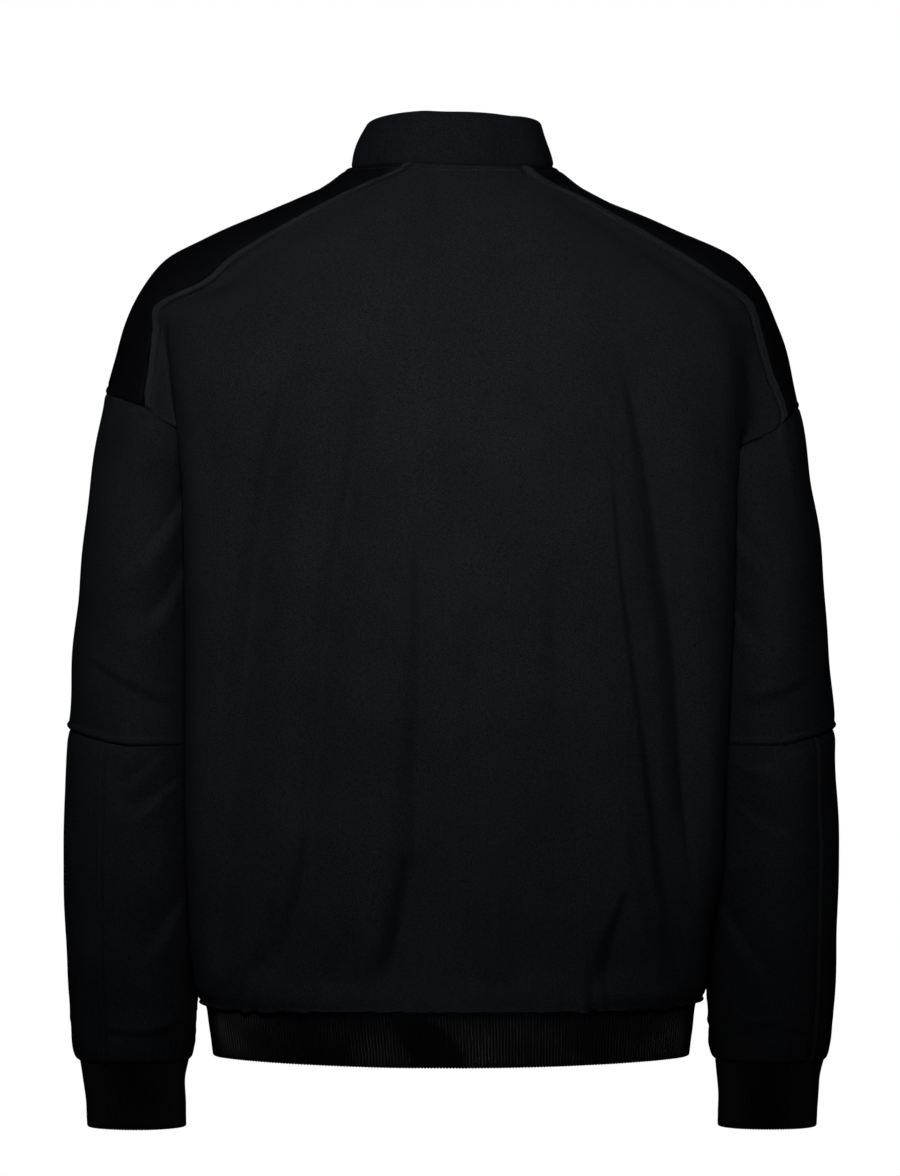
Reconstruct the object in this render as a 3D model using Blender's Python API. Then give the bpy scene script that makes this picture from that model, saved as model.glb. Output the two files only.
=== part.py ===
"""A man's track jacket, empty and filled out as it is worn, with its zip closed.

Metres, +Z up. The front faces -Y, the back +Y, and the wearer's left is +X. The origin is in the
middle of the neck opening, level with the top of the shoulders.

Every cloth panel is a thin wall on one smooth surface. That surface is given by sections: a row of
a table is one row of cloth, from the middle of the garment to the seam where the panel ends. Panels
share their points along a seam, and then stand SEAM_GAP apart.
"""

import math

import bmesh
import bpy
import numpy as np
from mathutils import Matrix

# Cloth
CLOTH = 0.0016
RIB_KNIT = 0.0022
COLLAR_CLOTH = 0.0028
SEAM_GAP = 0.0003

# Ribbing
RIB_PITCH = 0.0025
RIB_RELIEF = 0.0005
HEM_RIB_HEIGHT = 0.044
HEM_DRAW_IN = 0.0054
HEM_FOOT_RISE = 0.0040
HEM_HALF = 0.185
HEM_INNER_COLUMNS = 60
CUFF_INNER_COLUMNS = 24
RIB_TUCK = 0.0012

# Shoulder panel's raised seam band
BAND_WIDTH = 0.0065
BAND_EDGE = 0.0009
BAND_RISE = 0.0009
# Widest parts of a panel's first step that the band and its edge may take
BAND_MOST = 0.80
BAND_EDGE_MOST = 0.92

# Collar: how far it leans in and how high it stands at the back, sides and front
COLLAR_LEAN_LEFT = 0.848
COLLAR_LEAN_RIGHT = 0.885
COLLAR_LEAN_Y = 0.89
COLLAR_MIDDLE_Y = -0.010
COLLAR_HIGH_BACK = 0.0400
COLLAR_HIGH_SIDE = 0.0326
COLLAR_HIGH_FRONT = 0.0460
COLLAR_BULGE = 0.0016
COLLAR_PARTS = (0.0, 0.35, 0.7, 1.0)

# Zip: the tape lies behind the walls, the chain in the gap between them
ZIP_GAP = 0.0034
TAPE_BELOW_TOP = 0.0020
TAPE_HALF = 0.0105
TAPE_THICK = 0.0008
TAPE_CLEAR = 0.0006
COLLAR_ROUND = 0.0017
CHAIN_HALF = 0.0028
CHAIN_BELOW_FACE = 0.0003
CHAIN_LAST_STEP = 0.0040

# Zip slider and its bridge
SLIDER_BELOW_TOP = 0.0110
SLIDER_ABOVE_TAPE = 0.00045
SLIDER_LONG = 0.0100
SLIDER_WIDE = 0.0086
CORE_WIDE = 0.0056
CORE_LONG = 0.0090
PLATE_FOOT = 0.0006
PLATE_THICK = 0.0012
BRIDGE_WIDE = 0.0020
BRIDGE_LONG = 0.0070
BRIDGE_HIGH = 0.0034
BRIDGE_STRAP = 0.0009
BRIDGE_SINK = 0.0002
METAL_EDGE = 0.0003

# Pull tab
HINGE_ABOVE_PLATE = 0.0012
PULL_WIDE = 0.0062
PULL_BAR = 0.0011
PULL_RAIL = 0.0014
PULL_WINDOW = 0.0052
PULL_PLATE = 0.0200
PULL_THICK = 0.0013

# Row numbers in the body tables: hem seam, underarm, end of the shoulder panel, upper chest, neck seam
HEM_ROW = 0
UNDERARM_ROW = 6
SHOULDER_ROW = 9
CHEST_ROW = 14
NECK_ROW = 19
BODY_ROWS = (
    *(0, 1, 2, 2.5, 3, 3.5, 4, 4.5, 5, 5.5, 6, 6.5, 7),
    *(7.5, 8, 8.5, 9, 10, 11, 12, 13, 14, 15, 16, 17.5, 19),
)
# Columns of a panel, as places along its section: 0 to 6 is the broad part, 6 the crest beside the
# arm, 7 the turn behind the crest, 8 the seam.
BACK_COLUMNS = (0, 0.7, 1.4, 2, 2.5, 3, 3.5, 4, 4.5, 5, 5.5, 6, 6.5, 7, 8)
FRONT_COLUMNS = (0, 0.7, 1.4, 2, 2.5, 3, 3.5, 4, 5, 6, 7, 8)
SEAM_COLUMN = 8
BROAD_STEPS = 6
# Folds end over this many columns, half a column behind the crest
FOLD_END = 1.5
FOLD_PAST_CREST = 0.5
# How blunt the two ends of a fold are
FOLD_BLUNT = 0.7
# Points inside the garment, behind its panels
BODY_INSIDE = (0.0, 0.0, -0.35)
SHOULDER_INSIDE = (0.15, 0.0, -0.20)
SLEEVE_INSIDE = (0.246, -0.012)

SIDES = {"left": 1, "right": -1}
# Cosine of the widest angle between two panels that still meet smoothly
SMOOTH_SEAM = 0.5


def table(columns, *rows):
    """A table as a dictionary of its columns."""
    return dict(zip(columns.split(), np.array(rows, float).T))


# The back, left side. mid is the middle of the back, crest the fold beside the arm, edge the seam.
BACK_LEFT = table(
    "mid_z   mid_y   sweep crest_x crest_y turn_x  turn_y  edge_x  edge_y   edge_z",
    (-0.653, 0.1080, 90, 0.1915, 0.0320, 0.1905, 0.0110, 0.1875, -0.0100, -0.6530),
    (-0.638, 0.1140, 90, 0.1975, 0.0450, 0.1950, 0.0180, 0.1890, -0.0100, -0.6380),
    (-0.600, 0.1170, 90, 0.2010, 0.0520, 0.1965, 0.0220, 0.1875, -0.0100, -0.6000),
    (-0.540, 0.1180, 90, 0.2040, 0.0560, 0.1980, 0.0250, 0.1860, -0.0080, -0.5400),
    (-0.450, 0.1190, 90, 0.2040, 0.0600, 0.1970, 0.0280, 0.1845, -0.0060, -0.4500),
    (-0.350, 0.1210, 90, 0.2050, 0.0620, 0.1970, 0.0300, 0.1840, -0.0050, -0.3500),
    (-0.265, 0.1220, 90, 0.2065, 0.0640, 0.1980, 0.0330, 0.1870, -0.0050, -0.2650),
    (-0.236, 0.1220, 90, 0.2085, 0.0630, 0.2045, 0.0450, 0.1975, 0.0260, -0.2400),
    (-0.211, 0.1210, 90, 0.2105, 0.0640, 0.2085, 0.0550, 0.2085, 0.0490, -0.2130),
    (-0.188, 0.1190, 90, 0.2125, 0.0640, 0.2145, 0.0510, 0.2300, 0.0565, -0.1950),
    (-0.162, 0.1165, 88, 0.2155, 0.0610, 0.2190, 0.0500, 0.2280, 0.0520, -0.1620),
    (-0.134, 0.1120, 84, 0.2175, 0.0570, 0.2220, 0.0490, 0.2255, 0.0470, -0.1340),
    (-0.110, 0.1065, 78, 0.2110, 0.0565, 0.2180, 0.0510, 0.2235, 0.0460, -0.1156),
    (-0.093, 0.1010, 72, 0.1710, 0.0610, 0.1800, 0.0575, 0.1877, 0.0540, -0.0985),
    (-0.074, 0.0945, 68, 0.1450, 0.0615, 0.1540, 0.0585, 0.1623, 0.0555, -0.0769),
    (-0.0485, 0.0840, 64, 0.1010, 0.0620, 0.1085, 0.0590, 0.1154, 0.0560, -0.0492),
    (-0.0345, 0.0765, 60, 0.0760, 0.0605, 0.0820, 0.0580, 0.0877, 0.0555, -0.0338),
    (-0.0220, 0.0690, 57, 0.0520, 0.0585, 0.0565, 0.0570, 0.0608, 0.0555, -0.0208),
    (-0.0135, 0.0635, 54, 0.0340, 0.0570, 0.0375, 0.0560, 0.0407, 0.0550, -0.0123),
    (-0.0053, 0.0580, 50, 0.0240, 0.0560, 0.0266, 0.0553, 0.0292, 0.0545, -0.0040),
)

# The right side hangs a little wider, and its shoulder panel ends further out.
BACK_RIGHT = table(
    "crest_x crest_y turn_x  turn_y  edge_x  edge_y   edge_z",
    (0.1900, 0.0320, 0.1890, 0.0110, 0.1865, -0.0100, -0.6490),
    (0.1965, 0.0450, 0.1940, 0.0180, 0.1885, -0.0100, -0.6360),
    (0.1990, 0.0520, 0.1960, 0.0220, 0.1875, -0.0100, -0.6000),
    (0.2110, 0.0560, 0.2000, 0.0250, 0.1860, -0.0080, -0.5400),
    (0.2145, 0.0600, 0.1975, 0.0280, 0.1845, -0.0060, -0.4500),
    (0.2175, 0.0620, 0.1975, 0.0300, 0.1840, -0.0050, -0.3500),
    (0.2185, 0.0640, 0.1990, 0.0330, 0.1870, -0.0050, -0.2650),
    (0.2200, 0.0630, 0.2110, 0.0450, 0.1995, 0.0280, -0.2440),
    (0.2210, 0.0640, 0.2190, 0.0550, 0.2185, 0.0500, -0.2250),
    (0.2220, 0.0640, 0.2300, 0.0510, 0.2535, 0.0440, -0.2045),
    (0.2225, 0.0610, 0.2290, 0.0500, 0.2425, 0.0430, -0.1660),
    (0.2205, 0.0570, 0.2275, 0.0490, 0.2345, 0.0430, -0.1370),
    (0.2110, 0.0560, 0.2190, 0.0505, 0.2260, 0.0450, -0.1125),
    (0.1800, 0.0605, 0.1890, 0.0570, 0.1970, 0.0530, -0.0923),
    (0.1500, 0.0615, 0.1590, 0.0582, 0.1676, 0.0550, -0.0738),
    (0.1090, 0.0610, 0.1170, 0.0583, 0.1239, 0.0555, -0.0477),
    (0.0810, 0.0585, 0.0875, 0.0560, 0.0931, 0.0535, -0.0300),
    (0.0650, 0.0560, 0.0695, 0.0538, 0.0731, 0.0515, -0.0215),
    (0.0540, 0.0525, 0.0575, 0.0507, 0.0608, 0.0490, -0.0140),
    (0.0455, 0.0488, 0.0490, 0.0474, 0.0525, 0.0457, -0.0061),
)

# The front, the same on both sides. Up to the underarm its edge is the back's: the side seam.
FRONT = table(
    "mid_z   mid_y   sweep crest_x crest_y  turn_x  turn_y   edge_x  edge_y   edge_z",
    (-0.653, -0.1080, 90, 0.1905, -0.0420, 0.1895, -0.0260, 0.1875, -0.0100, -0.6530),
    (-0.638, -0.1140, 90, 0.1960, -0.0550, 0.1935, -0.0320, 0.1890, -0.0100, -0.6380),
    (-0.600, -0.1190, 90, 0.1985, -0.0620, 0.1945, -0.0350, 0.1875, -0.0100, -0.6000),
    (-0.540, -0.1240, 90, 0.2000, -0.0660, 0.1945, -0.0360, 0.1860, -0.0080, -0.5400),
    (-0.450, -0.1280, 90, 0.2010, -0.0690, 0.1945, -0.0370, 0.1850, -0.0060, -0.4500),
    (-0.352, -0.1310, 90, 0.2015, -0.0710, 0.1945, -0.0380, 0.1850, -0.0050, -0.3500),
    (-0.275, -0.1320, 90, 0.2020, -0.0715, 0.1960, -0.0400, 0.1870, -0.0050, -0.2650),
    (-0.252, -0.1320, 90, 0.2030, -0.0720, 0.2000, -0.0540, 0.1965, -0.0360, -0.2400),
    (-0.234, -0.1320, 90, 0.2045, -0.0730, 0.2045, -0.0650, 0.2070, -0.0585, -0.2160),
    (-0.218, -0.1310, 90, 0.2060, -0.0740, 0.2110, -0.0670, 0.2300, -0.0670, -0.1960),
    (-0.200, -0.1285, 88, 0.2080, -0.0730, 0.2150, -0.0670, 0.2280, -0.0650, -0.1650),
    (-0.183, -0.1250, 84, 0.2080, -0.0710, 0.2150, -0.0665, 0.2235, -0.0635, -0.1400),
    (-0.167, -0.1210, 78, 0.1940, -0.0730, 0.2030, -0.0700, 0.2110, -0.0665, -0.1210),
    (-0.150, -0.1160, 72, 0.1650, -0.0765, 0.1745, -0.0738, 0.1840, -0.0705, -0.1065),
    (-0.135, -0.1110, 68, 0.1390, -0.0785, 0.1480, -0.0760, 0.1570, -0.0730, -0.0950),
    (-0.117, -0.1035, 64, 0.1030, -0.0795, 0.1110, -0.0772, 0.1190, -0.0745, -0.0800),
    (-0.104, -0.0975, 60, 0.0810, -0.0790, 0.0875, -0.0766, 0.0940, -0.0740, -0.0710),
    (-0.092, -0.0905, 57, 0.0610, -0.0775, 0.0670, -0.0748, 0.0730, -0.0720, -0.0640),
    (-0.082, -0.0840, 54, 0.0480, -0.0740, 0.0530, -0.0715, 0.0580, -0.0690, -0.0600),
    (-0.072, -0.0770, 50, 0.0385, -0.0690, 0.0423, -0.0669, 0.0460, -0.0647, -0.0560),
)

# The top of the shoulder, from the armhole to the neck: rows SHOULDER_ROW to NECK_ROW.
RIDGE = table(
    "row left_x  left_z  right_x  right_z  y",
    (9, 0.2705, -0.1800, 0.2710, -0.1910, -0.0050),
    (10, 0.2637, -0.1520, 0.2645, -0.1590, -0.0060),
    (11, 0.2550, -0.1250, 0.2556, -0.1290, -0.0070),
    (12, 0.2418, -0.0968, 0.2430, -0.0990, -0.0080),
    (13, 0.2208, -0.0723, 0.2225, -0.0745, -0.0080),
    (14, 0.1885, -0.0557, 0.1895, -0.0576, -0.0080),
    (15, 0.1430, -0.0373, 0.1440, -0.0406, -0.0060),
    (16, 0.1170, -0.0267, 0.1175, -0.0292, -0.0040),
    (17, 0.0980, -0.0162, 0.0985, -0.0178, -0.0020),
    (18, 0.0870, -0.0086, 0.0875, -0.0092, 0.0),
    (19, 0.0788, -0.0040, 0.0790, -0.0040, 0.0),
)
RIDGE_SWEEP = 72

# Long soft troughs in the back, from top to bottom, x positive to the wearer's left
BACK_FOLDS = table(
    "top_x   top_z   foot_x   foot_z  bend     width  depth",
    (0.118, -0.130, 0.164, -0.480, 0.010, 0.022, 0.0075),
    (0.070, -0.190, 0.116, -0.540, 0.008, 0.022, 0.0050),
    (-0.126, -0.145, -0.182, -0.510, -0.003, 0.020, 0.0080),
    (-0.134, -0.330, -0.182, -0.640, 0.001, 0.016, 0.0055),
    (0.024, -0.400, 0.038, -0.640, 0.0, 0.024, 0.0040),
    (-0.062, -0.380, -0.078, -0.630, 0.0, 0.024, 0.0040),
)
FRONT_FOLDS = table(
    "top_x   top_z   foot_x   foot_z  bend     width  depth",
    (0.116, -0.190, 0.150, -0.510, 0.008, 0.022, 0.0060),
    (-0.110, -0.200, -0.150, -0.530, -0.006, 0.022, 0.0060),
    (0.062, -0.340, 0.076, -0.630, 0.0, 0.022, 0.0040),
    (-0.068, -0.370, -0.080, -0.635, 0.0, 0.022, 0.0040),
)

# Sleeve sections below the armhole. mid and half are the ellipse's middle and half sizes.
SLEEVE = table(
    "z       mid_x   mid_y    half_x  half_y",
    (-0.330, 0.2424, -0.0080, 0.0492, 0.0660),
    (-0.390, 0.2449, -0.0095, 0.0517, 0.0640),
    (-0.453, 0.2470, -0.0120, 0.0530, 0.0600),
    (-0.530, 0.2499, -0.0180, 0.0543, 0.0560),
    (-0.600, 0.2501, -0.0250, 0.0533, 0.0520),
    (-0.650, 0.2507, -0.0310, 0.0512, 0.0485),
    (-0.672, 0.2503, -0.0335, 0.0500, 0.0468),
    (-0.689, 0.2502, -0.0353, 0.0487, 0.0448),
    (-0.698, 0.2504, -0.0362, 0.0464, 0.0428),
    (-0.7025, 0.2505, -0.0366, 0.0442, 0.0410),
)
SLEEVE_RIGHT_SLIM = 0.985
SLEEVE_RIGHT_FORWARD = 0.003
SLEEVE_SIZES = ("mid_x", "mid_y", "half_x", "half_y")
UPPER_SLEEVE_STEPS = (0.16, 0.34, 0.54, 0.77, 1.0)
ELBOW_Z = -0.453
UPPER_SLEEVE_Z = (-0.390, ELBOW_Z)
LOWER_SLEEVE_Z = (ELBOW_Z, -0.495, -0.540, -0.590, -0.635, -0.668, -0.689, -0.7025)
ELBOW_RISE = 0.012
ELBOW_REACH = 0.110
# How a sleeve leaves the armhole: sideways on the outside, inside, back and front, for each unit down
SLEEVE_START_OUT = 0.23
SLEEVE_START_IN = 0.16
SLEEVE_START_ROUND = 0.12
SLEEVE_STEP = 0.02
ARMHOLE_MIDDLE = (0.2275, -0.0050)
ARMHOLE_HALF = (0.043, 0.062)
CUFF_TOP_Z = -0.7025
CUFF_SECTIONS = table(
    "down    mid_x   mid_y    half_x  half_y",
    (0.0000, 0.2500, -0.0370, 0.0428, 0.0394),
    (0.0120, 0.2498, -0.0374, 0.0406, 0.0374),
    (0.0525, 0.2482, -0.0384, 0.0390, 0.0355),
)
# Columns round a sleeve, from the underarm up the back, over the shoulder and down the front. The long
# seam of the lower sleeve replaces the columns nearer to it than SEAM_APART, in radians.
SEAM_APART = 0.12
ARMHOLE_BACK = (6, 6.5, 7, 7.5, 8, 8.5, 9)
SHOULDER_COLUMNS = (0, 1, 2, 3, 4, 5, 6, 7, 8)
LONG_SEAM_DEGREES = {"left": 67.0, "right": 49.0}


def smooth(knots, values, at):
    """values on a smooth curve through the knots. values may have further axes."""
    knots = np.asarray(knots, float)
    values = np.asarray(values, float)
    at = np.asarray(at, float)
    slopes = np.gradient(values, knots, axis=0)
    low = np.clip(np.searchsorted(knots, at, side="right") - 1, 0, len(knots) - 2)
    span = knots[low + 1] - knots[low]
    part = (at - knots[low]) / span
    extra = (1,) * (values.ndim - 1)
    part = part.reshape(part.shape + extra)
    span = span.reshape(span.shape + extra)
    rest = 1 - part
    ends = values[low] * rest**2 * (1 + 2 * part) + values[low + 1] * part**2 * (1 + 2 * rest)
    return ends + slopes[low] * span * part * rest**2 - slopes[low + 1] * span * part**2 * rest


def fold_depth(folds, x, z):
    """How far the cloth is pressed in at x and z by a table of troughs."""
    depth = np.zeros_like(x)
    for top_x, top_z, foot_x, foot_z, bend, width, deepest in zip(*folds.values()):
        part = np.clip((z - top_z) / (foot_z - top_z), 0, 1)
        middle = top_x + (foot_x - top_x) * part + bend * np.sin(math.pi * part)
        along = np.sin(math.pi * part) ** FOLD_BLUNT
        depth += deepest * along * np.exp(-(((x - middle) / width) ** 2))
    return depth


def section_keys(row, side, face):
    """Key points of one body row, from the middle to its seam."""
    at = {name: float(smooth(np.arange(NECK_ROW + 1), face[name], row)) for name in face}
    if row <= UNDERARM_ROW:
        for name in ("edge_x", "edge_y", "edge_z"):
            below = face[name][: UNDERARM_ROW + 1]
            at[name] = float(smooth(np.arange(UNDERARM_ROW + 1), below, row))
    swept = math.radians(at["sweep"])
    keys = []
    for step in range(BROAD_STEPS + 1):
        angle = swept * step / BROAD_STEPS
        across = math.sin(angle) / math.sin(swept)
        back = (math.cos(angle) - math.cos(swept)) / (1 - math.cos(swept))
        y = at["crest_y"] + (at["mid_y"] - at["crest_y"]) * back
        keys.append([at["crest_x"] * across, y, 0.0])
    keys.append([at["turn_x"], at["turn_y"], 0.0])
    keys.append([at["edge_x"], at["edge_y"], 0.0])
    keys = np.array(keys)
    share = np.arange(len(keys)) / (len(keys) - 1)
    keys[:, 2] = at["mid_z"] + (at["edge_z"] - at["mid_z"]) * share**2 * (3 - 2 * share)
    keys[:, 0] *= SIDES[side]
    return keys


def body_faces(side):
    """The back and front tables of one side."""
    back = dict(BACK_LEFT)
    if side == "right":
        back.update(BACK_RIGHT)
    front = dict(FRONT)
    for name in ("edge_x", "edge_y", "edge_z"):
        front[name] = np.where(np.arange(NECK_ROW + 1) <= UNDERARM_ROW, back[name], front[name])
    return back, front


def body_grid(side, part, rows, columns):
    """Points of half the back or of one front: one line of points for each row."""
    back, front = body_faces(side)
    face = back if part == "back" else front
    folds = BACK_FOLDS if part == "back" else FRONT_FOLDS
    outward = 1 if part == "back" else -1
    grid = []
    for row in rows:
        keys = section_keys(row, side, face)
        lengths = np.linalg.norm(np.diff(keys, axis=0), axis=1)
        places = np.concatenate([[0], np.cumsum(lengths)])
        at = np.interp(columns, np.arange(len(keys)), places)
        line = smooth(places, keys, at)
        fade = np.clip((BROAD_STEPS + FOLD_PAST_CREST - np.asarray(columns, float)) / FOLD_END, 0, 1)
        line[:, 1] -= outward * fade * fold_depth(folds, line[:, 0], line[:, 2])
        grid.append(line)
    return np.array(grid)


def edge_points(side, part, rows):
    """The outer edge of the back or front at the given rows."""
    return body_grid(side, part, rows, (SEAM_COLUMN,))[:, 0]


def shoulder_line(side, row, columns):
    """One line of the shoulder panel, from its back edge over the ridge to its front edge."""
    start = edge_points(side, "back", (row,))[0]
    end = edge_points(side, "front", (row,))[0]
    names = (side + "_x", "y", side + "_z")
    ridge = np.array([float(smooth(RIDGE["row"], RIDGE[name], row)) for name in names])
    ridge[0] *= SIDES[side]
    swept = math.radians(RIDGE_SWEEP)
    half = (len(SHOULDER_COLUMNS) - 1) / 2
    line = []
    for column in columns:
        edge = start if column <= half else end
        angle = swept * abs(column - half) / half
        away = math.sin(angle) / math.sin(swept)
        drop = (1 - math.cos(angle)) / (1 - math.cos(swept))
        point = ridge + (edge - ridge) * drop
        point[1] = ridge[1] + (edge[1] - ridge[1]) * away
        line.append(point)
    return np.array(line)


def armhole_ring(side):
    """Points of the armhole seam, from the underarm up the back and round."""
    back = edge_points(side, "back", ARMHOLE_BACK)
    top = shoulder_line(side, SHOULDER_ROW, SHOULDER_COLUMNS[1:-1])
    front = edge_points(side, "front", ARMHOLE_BACK[::-1])
    return np.concatenate([back, top, front[:-1]])


def ellipse_ring(angles, side, mid_x, mid_y, half_x, half_y, z):
    x = mid_x + half_x * np.cos(angles)
    return np.stack([SIDES[side] * x, mid_y + half_y * np.sin(angles), z + 0 * angles], axis=-1)


def ring_angles(side):
    """Angle of each sleeve column: 0 on the outside of the arm, 90 degrees at the back."""
    ring = armhole_ring(side)
    outward = (SIDES[side] * ring[:, 0] - ARMHOLE_MIDDLE[0]) / ARMHOLE_HALF[0]
    backward = (ring[:, 1] - ARMHOLE_MIDDLE[1]) / ARMHOLE_HALF[1]
    angles = np.arctan2(backward, outward)
    angles[0] = math.pi
    return np.unwrap(angles)


def sleeve_ring(side, angles, z):
    """A whole ring of the sleeve below the armhole's reach, tilted up on the outside at the elbow."""
    mid_x, mid_y, half_x, half_y = (float(smooth(-SLEEVE["z"], SLEEVE[n], -z)) for n in SLEEVE_SIZES)
    if side == "right":
        half_x *= SLEEVE_RIGHT_SLIM
        mid_y -= SLEEVE_RIGHT_FORWARD
    ring = ellipse_ring(angles, side, mid_x, mid_y, half_x, half_y, z)
    near = max(0.0, 1 - abs(z - ELBOW_Z) / ELBOW_REACH)
    ring[:, 2] += ELBOW_RISE * near * np.clip(np.cos(angles), 0, 1) ** 1.5
    return ring


def sleeve_top(side, angles, steps):
    """Rings from the armhole down to the first whole ring, each column on a smooth curve."""
    start = armhole_ring(side)
    end = sleeve_ring(side, angles, SLEEVE["z"][0])
    below = sleeve_ring(side, angles, SLEEVE["z"][0] - SLEEVE_STEP)
    length = np.linalg.norm(end - start, axis=1)[:, None]
    outer = (1 + np.cos(angles)) / 2
    lean = SIDES[side] * (SLEEVE_START_OUT * outer + SLEEVE_START_IN * (1 - outer))
    leave = np.stack([lean, SLEEVE_START_ROUND * np.sin(angles), -np.ones_like(lean)], axis=-1)
    leave = leave / np.linalg.norm(leave, axis=1)[:, None] * length
    arrive = (below - end) / np.linalg.norm(below - end, axis=1)[:, None] * length
    rings = [start]
    for t in steps:
        rest = 1 - t
        ends = start * rest**2 * (1 + 2 * t) + end * t**2 * (1 + 2 * rest)
        rings.append(ends + leave * t * rest**2 - arrive * t**2 * rest)
    return np.array(rings)


def grid_normals(grid, closed):
    """Outward normals of a grid of points, up to their sign."""
    down = np.gradient(grid, axis=0)
    if closed:
        around = (np.roll(grid, -1, axis=1) - np.roll(grid, 1, axis=1)) / 2
    else:
        around = np.gradient(grid, axis=1)
    normals = np.cross(around, down)
    return normals / np.linalg.norm(normals, axis=2, keepdims=True)


def face_out(grid, normals, inside):
    """Turns the normals so that they point away from a point inside the garment piece."""
    away = ((grid - inside) * normals).sum()
    return normals if away > 0 else -normals


def share_normals(panels):
    """Gives panels the same normal where they meet smoothly, so that their edges stay parallel.

    Where they meet in a crease, each is tucked away from the other by SEAM_GAP instead.
    """
    found = {}
    for panel in panels:
        for index in np.ndindex(panel["grid"].shape[:2]):
            key = tuple(np.round(panel["grid"][index], 6))
            found.setdefault(key, []).append(panel["normals"][index].copy())
    for panel in panels:
        panel["tuck"] = np.zeros(panel["grid"].shape[:2])
        for index in np.ndindex(panel["grid"].shape[:2]):
            own = panel["normals"][index].copy()
            others = found[tuple(np.round(panel["grid"][index], 6))]
            near = [other for other in others if np.dot(other, own) > SMOOTH_SEAM]
            mean = np.sum(near, axis=0)
            panel["normals"][index] = mean / np.linalg.norm(mean)
            panel["tuck"][index] = SEAM_GAP if len(near) < len(others) else 0.0


def pull_in(grid, closed):
    """Moves the edges of a grid half a seam gap inwards along the cloth."""
    pulled = grid.copy()
    for axis in (0, 1) if not closed else (0,):
        moved = np.swapaxes(pulled, 0, axis)
        source = np.swapaxes(grid, 0, axis)
        for edge, inner in ((0, 1), (-1, -2)):
            step = source[inner] - source[edge]
            moved[edge] += step / np.linalg.norm(step, axis=1, keepdims=True) * SEAM_GAP / 2
    return pulled


def wall_mesh(name, outer, inner, closed):
    """A closed thin solid between two grids of points with the same layout."""
    rows, columns = outer.shape[:2]
    points = np.concatenate([outer.reshape(-1, 3), inner.reshape(-1, 3)])
    below = rows * columns
    faces = []
    spans = range(columns if closed else columns - 1)
    for row in range(rows - 1):
        for column in spans:
            a = row * columns + column
            b = row * columns + (column + 1) % columns
            c, d = b + columns, a + columns
            faces += [(a, b, c), (a, c, d)]
            faces += [(below + a, below + c, below + b), (below + a, below + d, below + c)]
    rim = []
    for column in spans:
        after = (column + 1) % columns
        rim.append((after, column))
        rim.append(((rows - 1) * columns + column, (rows - 1) * columns + after))
    if not closed:
        for row in range(rows - 1):
            rim.append((row * columns, (row + 1) * columns))
            rim.append(((row + 2) * columns - 1, (row + 1) * columns - 1))
    for a, b in rim:
        faces += [(a, b, below + b), (a, below + b, below + a)]
    return mesh_of(name, points, faces)


def mesh_of(name, points, faces):
    mesh = bpy.data.meshes.new(name)
    mesh.from_pydata([tuple(p) for p in points], [], faces)
    shape = bmesh.new()
    shape.from_mesh(mesh)
    bmesh.ops.recalc_face_normals(shape, faces=shape.faces)
    shape.to_mesh(mesh)
    shape.free()
    mesh.shade_smooth()
    mesh.set_sharp_from_angle(angle=math.radians(40))
    return mesh


def material(name, color, roughness, metallic=0.0):
    made = bpy.data.materials.new(name)
    made.use_nodes = True
    shader = made.node_tree.nodes["Principled BSDF"]
    shader.inputs["Base Color"].default_value = (*color, 1.0)
    shader.inputs["Roughness"].default_value = roughness
    shader.inputs["Metallic"].default_value = metallic
    return made


def add(collection, mesh, made):
    obj = bpy.data.objects.new(mesh.name, mesh)
    obj.data.materials.append(made)
    collection.objects.link(obj)
    return obj


def raise_band(panel):
    """Raises the shoulder panel's outer face along its back and front edges, as a stitched seam band."""
    lift = np.zeros(panel["grid"].shape[:2])
    lift[:, panel["band"]] = BAND_RISE
    return lift


def shoulder_panel(side):
    """Shoulder panel with extra columns where its seam bands end."""
    rows = [row for row in BODY_ROWS if row >= SHOULDER_ROW]
    last = len(SHOULDER_COLUMNS) - 1
    grid = []
    for row in rows:
        line = shoulder_line(side, row, SHOULDER_COLUMNS)
        step = np.linalg.norm(line[1] - line[0])
        step_front = np.linalg.norm(line[-1] - line[-2])
        near = min(BAND_WIDTH / step, BAND_MOST)
        foot = min((BAND_WIDTH + BAND_EDGE) / step, BAND_EDGE_MOST)
        near_front = last - min(BAND_WIDTH / step_front, BAND_MOST)
        foot_front = last - min((BAND_WIDTH + BAND_EDGE) / step_front, BAND_EDGE_MOST)
        columns = [0, near, foot, *SHOULDER_COLUMNS[1:-1], foot_front, near_front, last]
        grid.append(shoulder_line(side, row, columns))
    band = [0, 1, -2, -1]
    return {"name": "shoulder_" + side, "grid": np.array(grid), "closed": False, "band": band}


def body_panels():
    panels = []
    halves = [body_grid(side, "back", BODY_ROWS, BACK_COLUMNS) for side in ("left", "right")]
    back = np.concatenate([halves[0][:, ::-1], halves[1][:, 1:]], axis=1)
    panels.append({"name": "back", "grid": back, "closed": False})
    for side in SIDES:
        front = body_grid(side, "front", BODY_ROWS, FRONT_COLUMNS)
        front[:, 0, 0] = SIDES[side] * ZIP_GAP
        panels.append({"name": "front_" + side, "grid": front, "closed": False})
        panels.append(shoulder_panel(side))
    return panels


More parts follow.
